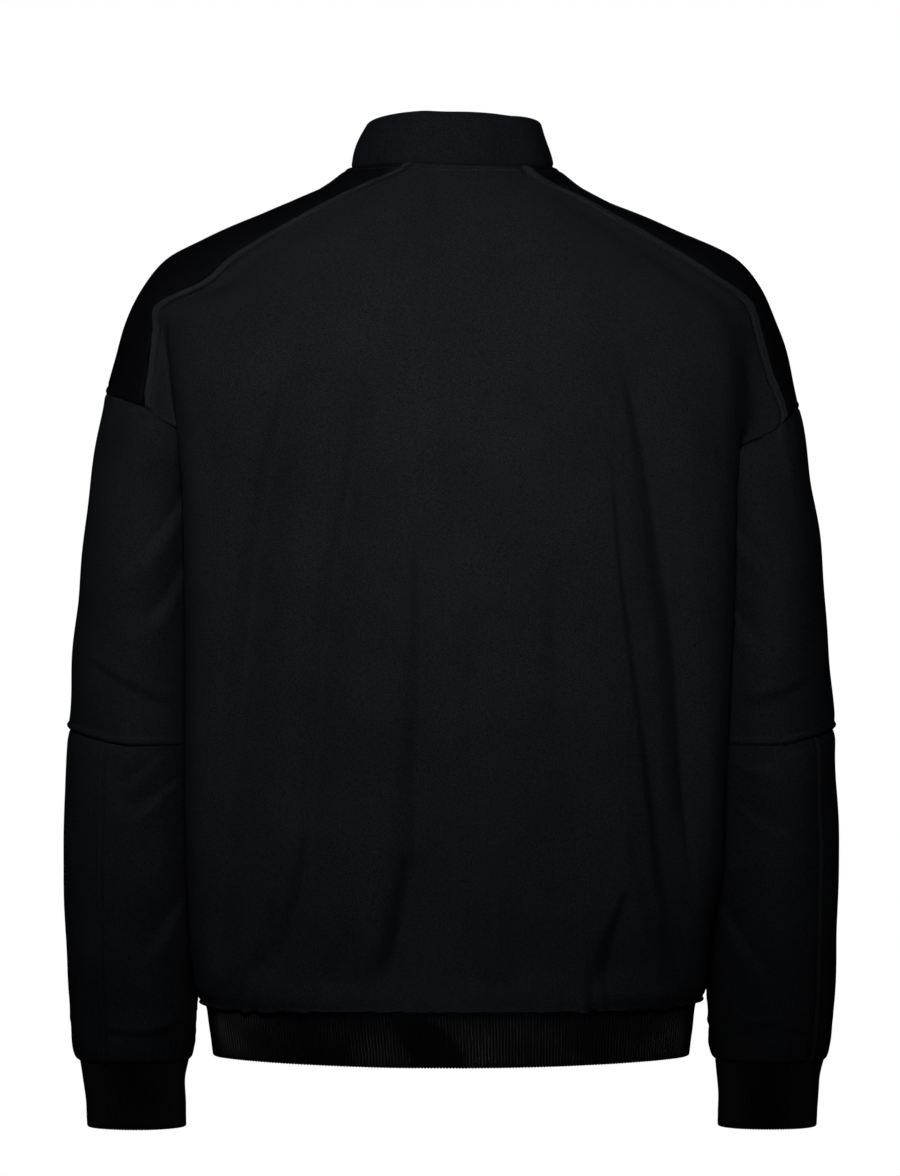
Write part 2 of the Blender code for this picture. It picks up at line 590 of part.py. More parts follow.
def sleeve_panels(side):
    angles = ring_angles(side)
    top = sleeve_top(side, angles, UPPER_SLEEVE_STEPS)
    rest = np.array([sleeve_ring(side, angles, z) for z in UPPER_SLEEVE_Z])
    upper = np.concatenate([top, rest])
    seam = math.radians(LONG_SEAM_DEGREES[side])
    parts = (
        np.append(angles[angles > seam + SEAM_APART], seam),
        np.concatenate([[seam], angles[angles < seam - SEAM_APART], [angles[0] - 2 * math.pi]]),
    )
    inner, outer = (np.array([sleeve_ring(side, part, z) for z in LOWER_SLEEVE_Z]) for part in parts)
    return [
        {"name": "upper_sleeve_" + side, "grid": upper, "closed": True},
        {"name": "lower_sleeve_inner_" + side, "grid": inner, "closed": False},
        {"name": "lower_sleeve_outer_" + side, "grid": outer, "closed": False},
    ]


def inside_of(panel):
    """A point inside the garment, behind the panel."""
    middle = panel["grid"].mean(axis=(0, 1))
    side = math.copysign(1, middle[0])
    if "sleeve" in panel["name"]:
        return np.array([side * SLEEVE_INSIDE[0], SLEEVE_INSIDE[1], middle[2]])
    if "shoulder" in panel["name"]:
        return np.array(SHOULDER_INSIDE) * (side, 1, 1)
    return np.array(BODY_INSIDE)


def build_cloth(collection, cloth, shoulder_cloth):
    panels = body_panels()
    for side in SIDES:
        panels += sleeve_panels(side)
    for panel in panels:
        normals = grid_normals(panel["grid"], panel["closed"])
        panel["normals"] = face_out(panel["grid"], normals, inside_of(panel))
    share_normals(panels)
    for panel in panels:
        middle = pull_in(panel["grid"], panel["closed"]) - panel["tuck"][..., None] * panel["normals"]
        inner = middle - CLOTH * panel["normals"]
        outer = middle
        if "band" in panel:
            outer = middle + raise_band(panel)[..., None] * panel["normals"]
        made = shoulder_cloth if "band" in panel else cloth
        add(collection, wall_mesh(panel["name"], outer, inner, panel["closed"]), made)


def neck_ring(offset_from_zip):
    """The neck seam from the zip's left edge round the back to its right edge."""
    half = {}
    for side in SIDES:
        front = body_grid(side, "front", (NECK_ROW,), FRONT_COLUMNS)[0]
        front[0, 0] = SIDES[side] * offset_from_zip
        over = shoulder_line(side, NECK_ROW, SHOULDER_COLUMNS)[::-1]
        back = body_grid(side, "back", (NECK_ROW,), BACK_COLUMNS[::-1])[0]
        half[side] = np.concatenate([front, over[1:], back[1:]])
    return np.concatenate([half["left"], half["right"][::-1][1:]])


def collar_point_rows(base):
    """The collar's outer points from its seam to its top, on the neck seam's points."""
    rows = []
    lean_x = np.where(base[:, 0] > 0, COLLAR_LEAN_LEFT, COLLAR_LEAN_RIGHT)
    for part in COLLAR_PARTS:
        leaned = base.copy()
        leaned[:, 0] *= 1 + (lean_x - 1) * part
        leaned[:, 1] = COLLAR_MIDDLE_Y + (base[:, 1] - COLLAR_MIDDLE_Y) * (1 + (COLLAR_LEAN_Y - 1) * part)
        places = (base[:, 1].min(), 0.0, base[:, 1].max())
        high = np.interp(base[:, 1], places, (COLLAR_HIGH_FRONT, COLLAR_HIGH_SIDE, COLLAR_HIGH_BACK))
        out = base - [0, COLLAR_MIDDLE_Y, 0]
        out[:, 2] = 0
        out /= np.linalg.norm(out, axis=1, keepdims=True)
        leaned += out * COLLAR_BULGE * math.sin(math.pi * part)
        leaned[:, 2] += high * part
        leaned[[0, -1], 0] = base[[0, -1], 0]
        rows.append(leaned)
    return np.array(rows)


def build_collar(collection, cloth):
    grid = collar_point_rows(neck_ring(ZIP_GAP))
    grid[0, :, 2] += SEAM_GAP / 2
    normals = face_out(grid, grid_normals(grid, False), np.array([0, COLLAR_MIDDLE_Y, grid[:, :, 2].mean()]))
    normals[:, [0, -1]] = (0, -1, 0)
    add(collection, wall_mesh("collar", grid, grid - COLLAR_CLOTH * normals, False), cloth)


def spaced(ring, count, closed):
    """count points at equal steps along a line of points."""
    if closed:
        ring = np.concatenate([ring, ring[:1]])
    places = np.concatenate([[0], np.cumsum(np.linalg.norm(np.diff(ring, axis=0), axis=1))])
    at = np.linspace(0, places[-1], count, endpoint=not closed)
    return smooth(places, ring, at) if not closed else smooth_closed(places, ring, at)


def smooth_closed(places, ring, at):
    """smooth() on a closed line whose last point repeats the first."""
    total = places[-1]
    knots = np.concatenate([places[-4:-1] - total, places, places[1:4] + total])
    values = np.concatenate([ring[-4:-1], ring, ring[1:4]])
    return smooth(knots, values, at)


def level_normals(ring, closed):
    """Level outward directions of a ring seen from above."""
    if closed:
        along = np.roll(ring, -1, axis=0) - np.roll(ring, 1, axis=0)
    else:
        along = np.gradient(ring, axis=0)
    out = np.stack([along[:, 1], -along[:, 0], np.zeros(len(ring))], axis=-1)
    out /= np.linalg.norm(out, axis=1, keepdims=True)
    centre = ring.mean(axis=0)
    return out if ((ring - centre) * out).sum() > 0 else -out


def bridge(first, second, closed):
    """Triangles between two lines of point numbers that run side by side."""
    faces = []
    i = j = 0
    count_i, count_j = len(first), len(second)
    if closed:
        first, second = first + first[:1], second + second[:1]
    else:
        count_i, count_j = count_i - 1, count_j - 1
    while i < count_i or j < count_j:
        if j == count_j or (i < count_i and (i + 1) / count_i <= (j + 1) / count_j):
            faces.append((first[i], first[i + 1], second[j]))
            i += 1
        else:
            faces.append((first[i], second[j + 1], second[j]))
            j += 1
    return faces


def ribbed_wall(name, rings, ribs, inner_columns, closed):
    """A ribbed band: ridges on its outer points, and a plain inside with fewer points.

    Its rings run from its seam to its foot.
    """
    count = 2 * ribs + (0 if closed else 1)
    inner_count = inner_columns + (0 if closed else 1)
    lines = []
    for ring in rings:
        fine = spaced(ring, count, closed)
        out = level_normals(fine, closed)
        relief = np.where(np.arange(count) % 2 == 0, -RIB_RELIEF, 0.0)
        lines.append(fine + out * relief[:, None])
    for ring in reversed(rings):
        plain = spaced(ring, inner_count, closed)
        lines.append(plain - level_normals(plain, closed) * RIB_KNIT)
    starts = np.cumsum([0] + [len(line) for line in lines])
    numbers = [list(range(first, after)) for first, after in zip(starts, starts[1:])]
    faces = []
    for line, following in zip(numbers, numbers[1:] + numbers[:1]):
        faces += bridge(line, following, closed)
    if not closed:
        outer, inner = numbers[: len(rings)], numbers[len(rings) :][::-1]
        for end in (0, -1):
            for row in range(len(rings) - 1):
                corner = [outer[row][end], outer[row + 1][end], inner[row + 1][end], inner[row][end]]
                faces += [tuple(corner[:3]), (corner[0], corner[2], corner[3])]
    return mesh_of(name, np.concatenate(lines), faces)


def hem_ring(part):
    """The hem rib's outline, from the zip's left edge round the back to its right edge.

    part is 0 at its seam and 1 at its foot, which is drawn in and rises a little at the sides.
    """
    fine_columns = np.linspace(0, SEAM_COLUMN, 4 * SEAM_COLUMN + 1)
    half = {}
    for side in SIDES:
        front = body_grid(side, "front", (HEM_ROW,), fine_columns)[0]
        back = body_grid(side, "back", (HEM_ROW,), fine_columns[::-1])[0]
        half[side] = np.concatenate([front, back[1:]])
    ring = np.concatenate([half["left"], half["right"][::-1][1:]])
    ring = ring - level_normals(ring, False) * (RIB_TUCK + HEM_DRAW_IN * part)
    foot = BACK_LEFT["mid_z"][HEM_ROW] - HEM_RIB_HEIGHT + HEM_FOOT_RISE * (ring[:, 0] / HEM_HALF) ** 2
    ring[:, 2] += (foot - ring[:, 2]) * part - SEAM_GAP / 2 * (1 - part)
    ring[0, 0] = ZIP_GAP
    ring[-1, 0] = -ZIP_GAP
    return ring


def build_hem(collection, rib_cloth):
    rings = [hem_ring(part) for part in (0, 1)]
    length = np.linalg.norm(np.diff(rings[0], axis=0), axis=1).sum()
    ribs = round(length / RIB_PITCH)
    add(collection, ribbed_wall("hem_rib", rings, ribs, HEM_INNER_COLUMNS, False), rib_cloth)


def build_cuffs(collection, rib_cloth):
    angles = np.linspace(0, 2 * math.pi, 2 * CUFF_INNER_COLUMNS, endpoint=False)
    for side in SIDES:
        forward = SLEEVE_RIGHT_FORWARD if side == "right" else 0.0
        rings = []
        for down, mid_x, mid_y, half_x, half_y in zip(*CUFF_SECTIONS.values()):
            z = CUFF_TOP_Z - max(down, SEAM_GAP / 2)
            rings.append(ellipse_ring(angles, side, mid_x, mid_y - forward, half_x, half_y, z))
        around = np.linalg.norm(rings[0] - np.roll(rings[0], 1, axis=0), axis=1).sum()
        ribs = round(around / RIB_PITCH)
        add(collection, ribbed_wall("cuff_" + side, rings, ribs, CUFF_INNER_COLUMNS, True), rib_cloth)


def places_along(line):
    """How far along a line of points each of them is."""
    return np.concatenate([[0], np.cumsum(np.linalg.norm(np.diff(line[:, :3], axis=0), axis=1))])


def zip_line():
    """The centre front from the hem rib's foot to just below the collar's top.

    Each point is x, y, z and how far the walls beside it reach in.
    """
    rows = BODY_ROWS[1:-1]
    collar_depth = COLLAR_CLOTH + COLLAR_ROUND
    body_depth = np.interp(rows, (CHEST_ROW, NECK_ROW), (CLOTH, collar_depth))
    parts = (
        (np.array([hem_ring(part)[0] for part in (1, 0)]), RIB_KNIT),
        (body_grid("left", "front", rows, (0,))[:, 0], body_depth),
        (collar_point_rows(neck_ring(ZIP_GAP))[:, 0], collar_depth),
    )
    line = np.concatenate([np.insert(points, 3, depth, axis=1) for points, depth in parts])
    line[:, 0] = 0
    last = np.linalg.norm(line[-1, :3] - line[-2, :3])
    line[-1] += (line[-2] - line[-1]) * TAPE_BELOW_TOP / last
    return line


def strip_mesh(name, line, half_width, near, far):
    """A flat strip along the centre front, between two depths behind its surface."""
    along = np.gradient(line, axis=0)
    out = np.stack([np.zeros(len(line)), -along[:, 2], along[:, 1]], axis=-1)
    out /= np.linalg.norm(out, axis=1, keepdims=True)
    edges = []
    for depth in (near, far):
        middle = line[:, :3] - out * np.broadcast_to(depth, len(line))[:, None]
        edges.append(np.stack([middle - [half_width, 0, 0], middle + [half_width, 0, 0]], axis=1))
    return wall_mesh(name, edges[0], edges[1], False)


def box_mesh(name, size, bevel):
    shape = bmesh.new()
    bmesh.ops.create_cube(shape, size=1.0)
    bmesh.ops.scale(shape, vec=size, verts=shape.verts)
    if bevel:
        bmesh.ops.bevel(shape, geom=shape.edges[:], offset=bevel, segments=1, affect="EDGES")
    mesh = bpy.data.meshes.new(name)
    shape.to_mesh(mesh)
    shape.free()
    return mesh


def build_zip(collection, tape_cloth, metal):
    line = zip_line()
    tape_face = line[:, 3] + TAPE_CLEAR
    tape = strip_mesh("zip_tape", line, TAPE_HALF, tape_face, tape_face + TAPE_THICK)
    add(collection, tape, tape_cloth)
    chain_line, slider_at, along = split_at_slider(line)
    chain_foot = chain_line[:, 3] + TAPE_CLEAR - SEAM_GAP
    chain = strip_mesh("zip_chain", chain_line, CHAIN_HALF, CHAIN_BELOW_FACE, chain_foot)
    add(collection, chain, metal)
    turn = math.atan2(along[2], along[1])
    core_reach = slider_at[3] + TAPE_CLEAR - SLIDER_ABOVE_TAPE
    build_slider(collection, metal, slider_at[:3], turn, core_reach)
    build_pull(collection, metal, slider_at[:3], turn)


def split_at_slider(line):
    """The chain's line up to the slider, and the slider's middle and direction."""
    places = places_along(line)
    middle = places[-1] + TAPE_BELOW_TOP - SLIDER_BELOW_TOP
    end = middle - SLIDER_LONG / 2 - SEAM_GAP
    kept = line[places < end - CHAIN_LAST_STEP]
    last = smooth(places, line, np.array([end]))
    ends = smooth(places, line, np.array([middle - SLIDER_LONG / 2, middle + SLIDER_LONG / 2]))
    slider_at = smooth(places, line, np.array([middle]))[0]
    return np.concatenate([kept, last]), slider_at, ends[1] - ends[0]


def moved(mesh, x, y, z):
    mesh.transform(Matrix.Translation((x, y, z)))
    return mesh


def place(obj, at, turn):
    obj.location = at
    obj.rotation_euler = (turn, 0, 0)


def unite(collection, name, meshes, made):
    """One object from overlapping meshes, joined by Boolean unions that are applied at once."""
    base = add(collection, meshes[0], made)
    base.name = name
    for number, mesh in enumerate(meshes[1:]):
        other = add(collection, mesh, made)
        joined = base.modifiers.new(f"join_{number}", "BOOLEAN")
        joined.operation = "UNION"
        joined.object = other
        graph = bpy.context.evaluated_depsgraph_get()
        united = bpy.data.meshes.new_from_object(base.evaluated_get(graph))
        base.modifiers.clear()
        base.data = united
        bpy.data.objects.remove(other)
    base.data.name = name
    return base


def build_slider(collection, metal, at, turn, core_reach):
    """The slider in its own axes: x across, y up the zip, z out.

    Its core reaches in between the walls, and its bridge is an arch over the pull's bar.
    """
    plate = box_mesh("plate", (SLIDER_WIDE, SLIDER_LONG, PLATE_THICK), METAL_EDGE)
    plate_middle = PLATE_FOOT + PLATE_THICK / 2
    plate_top = PLATE_FOOT + PLATE_THICK
    core = box_mesh("core", (CORE_WIDE, CORE_LONG, plate_middle + core_reach), 0)
    pieces = [moved(plate, 0, 0, plate_middle), moved(core, 0, 0, (plate_middle - core_reach) / 2)]
    for end in (-1, 1):
        post = box_mesh("post", (BRIDGE_WIDE, BRIDGE_STRAP, BRIDGE_HIGH), 0)
        y = end * (BRIDGE_LONG - BRIDGE_STRAP) / 2
        pieces.append(moved(post, 0, y, plate_top + BRIDGE_HIGH / 2 - BRIDGE_SINK))
    top = box_mesh("top", (BRIDGE_WIDE, BRIDGE_LONG, BRIDGE_STRAP), METAL_EDGE)
    pieces.append(moved(top, 0, 0, plate_top + BRIDGE_HIGH - BRIDGE_STRAP / 2))
    place(unite(collection, "zip_slider", pieces, metal), at, turn)


def build_pull(collection, metal, at, turn):
    """The pull tab: a bar through the slider's bridge, two rails and a plate.

    Its origin is on the bar's axis.
    """
    bar = box_mesh("bar", (PULL_WIDE, PULL_BAR, PULL_BAR), METAL_EDGE / 2)
    pieces = [bar]
    for end in (-1, 1):
        rail = box_mesh("rail", (PULL_RAIL, PULL_WINDOW + PULL_BAR, PULL_BAR), 0)
        pieces.append(moved(rail, end * (PULL_WIDE - PULL_RAIL) / 2, -PULL_WINDOW / 2, 0))
    plate = box_mesh("tab", (PULL_WIDE, PULL_PLATE, PULL_THICK), METAL_EDGE)
    pieces.append(moved(plate, 0, -PULL_WINDOW - PULL_PLATE / 2 + PULL_BAR / 2, 0))
    out = np.array([0.0, -math.sin(turn), math.cos(turn)])
    hinge = at + out * (PLATE_FOOT + PLATE_THICK + HINGE_ABOVE_PLATE)
    place(unite(collection, "zip_pull", pieces, metal), hinge, turn)


def main():
    for obj in list(bpy.data.objects):
        bpy.data.objects.remove(obj)
    collection = bpy.data.collections.new("track_jacket")
    bpy.context.scene.collection.children.link(collection)
    cloth = material("body_fabric", (0.012, 0.0125, 0.015), 0.72)
    shoulder_cloth = material("shoulder_fabric", (0.005, 0.0053, 0.0065), 0.60)
    rib_cloth = material("rib_knit", (0.009, 0.009, 0.011), 0.80)
    tape_cloth = material("zip_tape", (0.010, 0.010, 0.012), 0.75)
    metal = material("zip_metal", (0.02, 0.02, 0.022), 0.35, 1.0)
    build_cloth(collection, cloth, shoulder_cloth)
    build_collar(collection, cloth)
    build_hem(collection, rib_cloth)
    build_cuffs(collection, rib_cloth)
    build_zip(collection, tape_cloth, metal)


main()
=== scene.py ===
"""The track jacket's looks: fine cloth with its folds, seams, topstitching, ribbing and zip.

The cloth lies on the same smooth surface as the CAD walls, in metres with +Z up. The front faces -Y
and the wearer's left is +X. Each panel is a fine grid of points that is pushed in and out along its
own normals by the folds, the seams' valleys and the raised bands.
"""

import math

import bmesh
import bpy
import numpy as np
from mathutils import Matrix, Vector


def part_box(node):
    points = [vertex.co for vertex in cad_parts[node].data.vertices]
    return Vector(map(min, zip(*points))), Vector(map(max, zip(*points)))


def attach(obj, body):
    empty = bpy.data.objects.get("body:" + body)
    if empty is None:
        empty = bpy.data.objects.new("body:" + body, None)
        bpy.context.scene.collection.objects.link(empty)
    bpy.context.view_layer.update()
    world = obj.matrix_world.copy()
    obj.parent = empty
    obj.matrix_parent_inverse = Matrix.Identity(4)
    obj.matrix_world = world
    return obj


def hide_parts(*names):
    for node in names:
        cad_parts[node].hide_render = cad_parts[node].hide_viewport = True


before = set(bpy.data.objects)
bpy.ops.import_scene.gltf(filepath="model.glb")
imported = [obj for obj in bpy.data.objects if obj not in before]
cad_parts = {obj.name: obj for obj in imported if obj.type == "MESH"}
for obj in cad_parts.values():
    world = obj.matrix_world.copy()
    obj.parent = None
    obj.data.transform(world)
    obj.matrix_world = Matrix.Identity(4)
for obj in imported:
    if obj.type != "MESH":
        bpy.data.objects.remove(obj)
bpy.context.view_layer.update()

# Camera: how far it stands from the jacket's middle, and how high the picture is there
CAMERA_AT = (0.0016, 4.0, -0.3315)
CAMERA_AWAY = 4.0
FRAME_HIGH = 0.91728
SENSOR = 36.0

# Light
AMBIENT = 0.002
AMBIENT_COLOR = (0.95, 0.97, 1.0, 1.0)
WHITE = (1.0, 1.0, 1.0, 1.0)
FLOOR_Z = -1.05
FLOOR_RADIUS = 1.9
FLOOR_SEGMENTS = 96
FLOOR_COLOR = (0.86, 0.86, 0.86, 1.0)
FLOOR_ROUGH = 0.9
FLOOR_GLOW = (0.86, 0.87, 0.88, 1.0)
FLOOR_GLOW_STRENGTH = 0.75
LIGHTS = (
    # name, place, target, size, spread in degrees, watts, seen in highlights
    ("beam", (0.0, 2.6, 0.35), (0.0, 0.1, -0.15), (0.4, 0.4), 30.0, 1.10, True),
    ("side", (1.2, 1.2, 0.9), (0.1, 0.05, -0.25), (0.6, 0.6), 60.0, 1.0, False),
    ("top", (0.0, 0.3, 1.6), (0.0, 0.0, 0.0), (0.8, 0.8), 180.0, 2.4, True),
    ("low_beam", (0.0, 2.6, -1.00), (-0.01, 0.1, -0.725), (0.05, 0.04), 6.0, 0.011, True),
    ("front", (-0.5, -1.9, 0.5), (0.0, -0.1, -0.25), (1.0, 1.0), 180.0, 45.0, False),
)

# Knits: name, colour, roughness, gloss, grain of the colour, depth of the bumps and fineness of the loops
KNITS = {
    "body": ("body_fabric_knit", (0.0116, 0.0127, 0.0156), 0.75, 0.06, 0.65, 0.30, 1000.0),
    "shoulder": ("shoulder_fabric_knit", (0.0029, 0.0031, 0.0042), 0.65, 0.06, 0.60, 0.25, 800.0),
    # The raised shoulder bands are of their shoulder panel's knit. Their lighter colour is a painted
    # highlight where the raised crowns catch the light; their higher gloss is the knit's own.
    "band": ("shoulder_band_painted_highlight_knit", (0.0150, 0.0165, 0.0185), 0.70, 0.10, 0.50, 0.25, 800.0),
    "collar": ("collar_fabric_knit", (0.0085, 0.0090, 0.0120), 0.75, 0.06, 0.70, 0.30, 800.0),
    "hem": ("rib_fabric_knit", (0.0016, 0.0016, 0.0021), 0.45, 0.40, 0.40, 0.20, 800.0),
    # The cuffs are of the hem's rib knit. This copy has its own colour, roughness and gloss, set to the
    # darkness the cuffs show under the lamps: painted shade.
    "cuff": ("cuff_rib_knit_painted_shade", (0.0040, 0.0040, 0.0049), 0.60, 0.20, 0.40, 0.20, 800.0),
    "tape": ("zip_tape_weave", (0.0100, 0.0100, 0.0120), 0.75, 0.15, 0.25, 0.40, 1400.0),
    "thread": ("thread_black", (0.0120, 0.0120, 0.0140), 0.55, 0.20, 0.15, 0.20, 2500.0),
}
METAL_BLACK = (0.0200, 0.0200, 0.0220)
METAL_ROUGH = 0.38
# Spots where the metal is rubbed: fineness, where they begin and end in the noise, how much brighter
# they are, and how far the roughness goes down and up
RUBBED_FINE = 420.0
RUBBED_RAMP = (0.45, 0.75)
RUBBED_BRIGHTER = 2.2
RUBBED_ROUGH = (-0.08, 0.12)
# Knit: the part of the noise that is used, the slow patches, the loops and the upright wales
NOISE_RANGE = {"from_min": 0.3, "from_max": 0.7}
PATCHES_FINE = 22.0
PATCHES_SHADE = {"to_min": 0.90, "to_max": 1.10}
LOOPS_RAMP = (0.32, 0.70)
LOOPS_ROUGH = 0.05
WALES_FINE = 190.0
WALES_UNEVEN = 1.2
WALES_SHARE = 0.35
BUMP_DISTANCE = 0.0003

# Fineness: lines of points along and across the pieces, closer together near the seams
DENSE = 0.80
DENSE_REACH = 0.045
BACK_LINES = 180
HALF_BACK_LINES = 205
FRONT_LINES = 190
HALF_FRONT_LINES = 115
SHOULDER_LINES = 120
SHOULDER_ACROSS = 130
SLEEVE_AROUND = 170
SLEEVE_TOP_LINES = 80
SLEEVE_MID_LINES = 50
LOWER_LINES = 100
LOWER_EXTRA_COLUMNS = 20
COLLAR_LINES = 34
NECK_STEPS = (46, 70, 40)
HEM_LINES = 14
CUFF_LINES = 16
RIB_STEPS = 6
ZIP_LINES = 240
HEM_COLUMNS = 121
CUFF_COLUMNS = 240
COLLAR_EDGE_STEPS = 4
RIB_EDGE_STEPS = 3
ROW_SAMPLES = 400
# The inside of a piece has every fourth line of points of its outside, and that of the tape every third
INSIDE_STRIDE = 4
TAPE_STRIDE = 3
# Edges that bend more than this many degrees look sharp
SHARP_DEGREES = 50
ALL_SMOOTH = 180

# Seams and stitches
SEAM_VALLEY = 0.0008
SEAM_VALLEY_WIDE = 0.0013
SEAM_SWELL = 0.0005
SEAM_SWELL_AT = 0.0034
SEAM_SWELL_WIDE = 0.0026
STITCH_VALLEY = 0.00060
STITCH_VALLEY_WIDE = 0.0011
STITCH_INSET = 0.0062
BAND_STITCH = 0.0034
BAND_HIGH = 0.0015
ZIP_STITCH = 0.0056
STITCH_PITCH = 0.0033
STITCH_HALF = 0.00125
STITCH_SUNK = 0.0003
STITCH_RISE = 0.00012
STITCH_FULL_PART = 0.62
THREAD_SIDES = 4
THREAD_WIDE = 0.00028
THREAD_HIGH = 0.00024
ZIP_REACH = 0.04
SLEEVE_RADIUS = 0.052
RIB_DEEP = 0.0011
ELBOW_ROLL = 0.0010
ELBOW_ROLL_AT = 0.0026
ELBOW_TUCK = 0.0010
LONG_SEAM_RISE = 0.0008
HEM_PUFF = 0.0070
HEM_PUFF_REACH = 0.014
HEM_CURL = 0.0024
HEM_BAND_SWELL = 0.0017
HEM_PUFF_AT_SIDES = 0.35
HEM_STITCH_WIDER = 1.4
HEM_STITCH_SHALLOWER = 0.8
ZIP_EDGE_WIDE = 0.0012
ZIP_EDGE_DEEP = 0.0007
BAND_VALLEY_WIDE = 0.0010
BAND_SEAM_DEEP = 0.0018
BAND_EDGE_DEEP = 0.0005
BAND_STITCH_DEEP = 0.0006
BAND_ROUND = 0.8
# How far past the band's edge the painted highlight reaches, as a part of the edge's width
BAND_EDGE_HIGHLIGHTED = 0.3
ELBOW_TUCK_AT = 0.001
ELBOW_TUCK_WIDE = 0.0050
LONG_SEAM_AT = 0.0028
LONG_SEAM_WIDE = 0.0026

# Distances from a seam over which the creases and the unevenness grow to their full size
CREASES_GROW = 0.012
CREASES_GROW_AT_ELBOW = 0.010
CREASES_GROW_AT_ZIP = 0.03
CREASES_GROW_AT_BAND = 0.025
SWELL_GROWS_AT_NECK = 0.03
SWELL_GROWS_AT_HEM = 0.02
# The broad part of the body, away from the arms
BROAD_HALF = 0.185
BROAD_FADE = 0.03

# Creases: half width, depth, height of the ridge beside it, and points of its path.
# A crease is narrow where it starts and widens. It falls from the ridge to a sharp line, then rises slowly.
# On the body the points are x, positive to the wearer's left, and z.
NARROW = 0.35
WIDENS = 0.85
BLUNT = 0.0016
RISES_OVER = 2.0
RISE_FADES_AT = 3.0
STEEP_POWER = 1.6
LIP_AT = 1.5
LIP_WIDE = 0.8
RISE_PART = 0.10
FALL_PART = 0.28
PATH_STEPS = 16
BACK_CREASES = (
    (0.0200, 0.0095, 0.0012, ((0.116, -0.140), (0.137, -0.234), (0.154, -0.348), (0.169, -0.485),
      (0.178, -0.569))),
    (0.0170, 0.0075, 0.0012, ((0.067, -0.157), (0.076, -0.242), (0.095, -0.356), (0.105, -0.462),
      (0.109, -0.569), (0.118, -0.622))),
    (0.0175, 0.0095, 0.0014, ((-0.123, -0.151), (-0.135, -0.179), (-0.144, -0.219), (-0.152, -0.265),
      (-0.161, -0.318), (-0.170, -0.379), (-0.176, -0.455), (-0.182, -0.523), (-0.188, -0.599))),
    (0.0060, 0.0034, 0.0006, ((-0.121, -0.227), (-0.131, -0.329), (-0.144, -0.420), (-0.158, -0.523),
      (-0.174, -0.626))),
    (0.0200, 0.0070, 0.0010, ((0.027, -0.280), (0.024, -0.371), (0.026, -0.447), (0.030, -0.554),
      (0.044, -0.639))),
    (0.0240, 0.0045, 0.0006, ((-0.079, -0.295), (-0.080, -0.409), (-0.090, -0.481), (-0.097, -0.538),
      (-0.096, -0.592))),
    (0.0160, 0.0036, 0.0004, ((-0.017, -0.341), (-0.014, -0.439), (-0.012, -0.508))),
    (0.0220, 0.0036, 0.0004, ((0.012, -0.135), (0.000, -0.211), (-0.003, -0.280), (0.009, -0.341))),
    (0.0120, 0.0026, 0.0006, ((-0.037, -0.561), (-0.047, -0.603), (-0.052, -0.639))),
    (0.0130, 0.0060, 0.0008, ((-0.135, -0.561), (-0.122, -0.607), (-0.116, -0.639))),
    (0.0130, 0.0024, 0.0006, ((-0.135, -0.508), (-0.147, -0.557), (-0.164, -0.599), (-0.179, -0.633))),
    (0.0110, 0.0020, 0.0004, ((0.052, -0.126), (0.049, -0.162), (0.046, -0.208))),
    (0.0120, 0.0018, 0.0004, ((-0.059, -0.122), (-0.064, -0.162), (-0.062, -0.219))),
    (0.0120, 0.0050, 0.0006, ((0.140, -0.569), (0.144, -0.607), (0.151, -0.637))),
    (0.0120, 0.0026, 0.0006, ((0.081, -0.592), (0.090, -0.618), (0.096, -0.641))),
    (0.0145, 0.0060, 0.0010, ((0.033, -0.531), (0.041, -0.595), (0.055, -0.645))),
    (0.0145, 0.0060, 0.0010, ((0.110, -0.516), (0.120, -0.580), (0.141, -0.637))),
    (0.0130, 0.0050, 0.0008, ((0.167, -0.516), (0.175, -0.569), (0.181, -0.633))),
)
FRONT_CREASES = (
    (0.0085, 0.0026, 0.0012, ((0.112, -0.200), (0.128, -0.235), (0.136, -0.300), (0.146, -0.420))),
    (0.0080, 0.0024, 0.0010, ((-0.106, -0.205), (-0.122, -0.240), (-0.132, -0.310), (-0.148, -0.450))),
    (0.0090, 0.0018, 0.0008, ((0.060, -0.260), (0.070, -0.330), (0.080, -0.430), (0.086, -0.530))),
    (0.0060, 0.0014, 0.0006, ((-0.074, -0.290), (-0.086, -0.380), (-0.094, -0.470), (-0.100, -0.560))),
    (0.0110, 0.0018, 0.0, ((0.172, -0.215), (0.168, -0.255), (0.172, -0.300))),
    (0.0110, 0.0018, 0.0, ((-0.174, -0.220), (-0.170, -0.260), (-0.174, -0.310))),
    (0.0110, 0.0015, 0.0005, ((0.118, -0.540), (0.124, -0.590), (0.122, -0.645))),
    (0.0100, 0.0014, 0.0005, ((0.050, -0.570), (0.054, -0.610), (0.053, -0.645))),
    (0.0110, 0.0015, 0.0005, ((-0.060, -0.565), (-0.064, -0.605), (-0.062, -0.645))),
    (0.0100, 0.0014, 0.0005, ((-0.136, -0.550), (-0.142, -0.600), (-0.140, -0.645))),
    (0.0070, 0.0012, 0.0005, ((0.060, -0.100), (0.070, -0.130), (0.092, -0.160))),
    (0.0070, 0.0012, 0.0005, ((-0.064, -0.098), (-0.078, -0.130), (-0.100, -0.152))),
)
# On a shoulder panel the points are x away from the middle, and y.
SHOULDER_CREASES = (
    (0.0100, 0.0016, 0.0006, ((0.150, 0.030), (0.185, 0.012), (0.225, 0.004))),
    (0.0090, 0.0014, 0.0005, ((0.150, -0.040), (0.185, -0.022), (0.222, -0.020))),
    (0.0070, 0.0012, 0.0004, ((0.098, 0.020), (0.112, 0.002), (0.118, -0.030))),
)
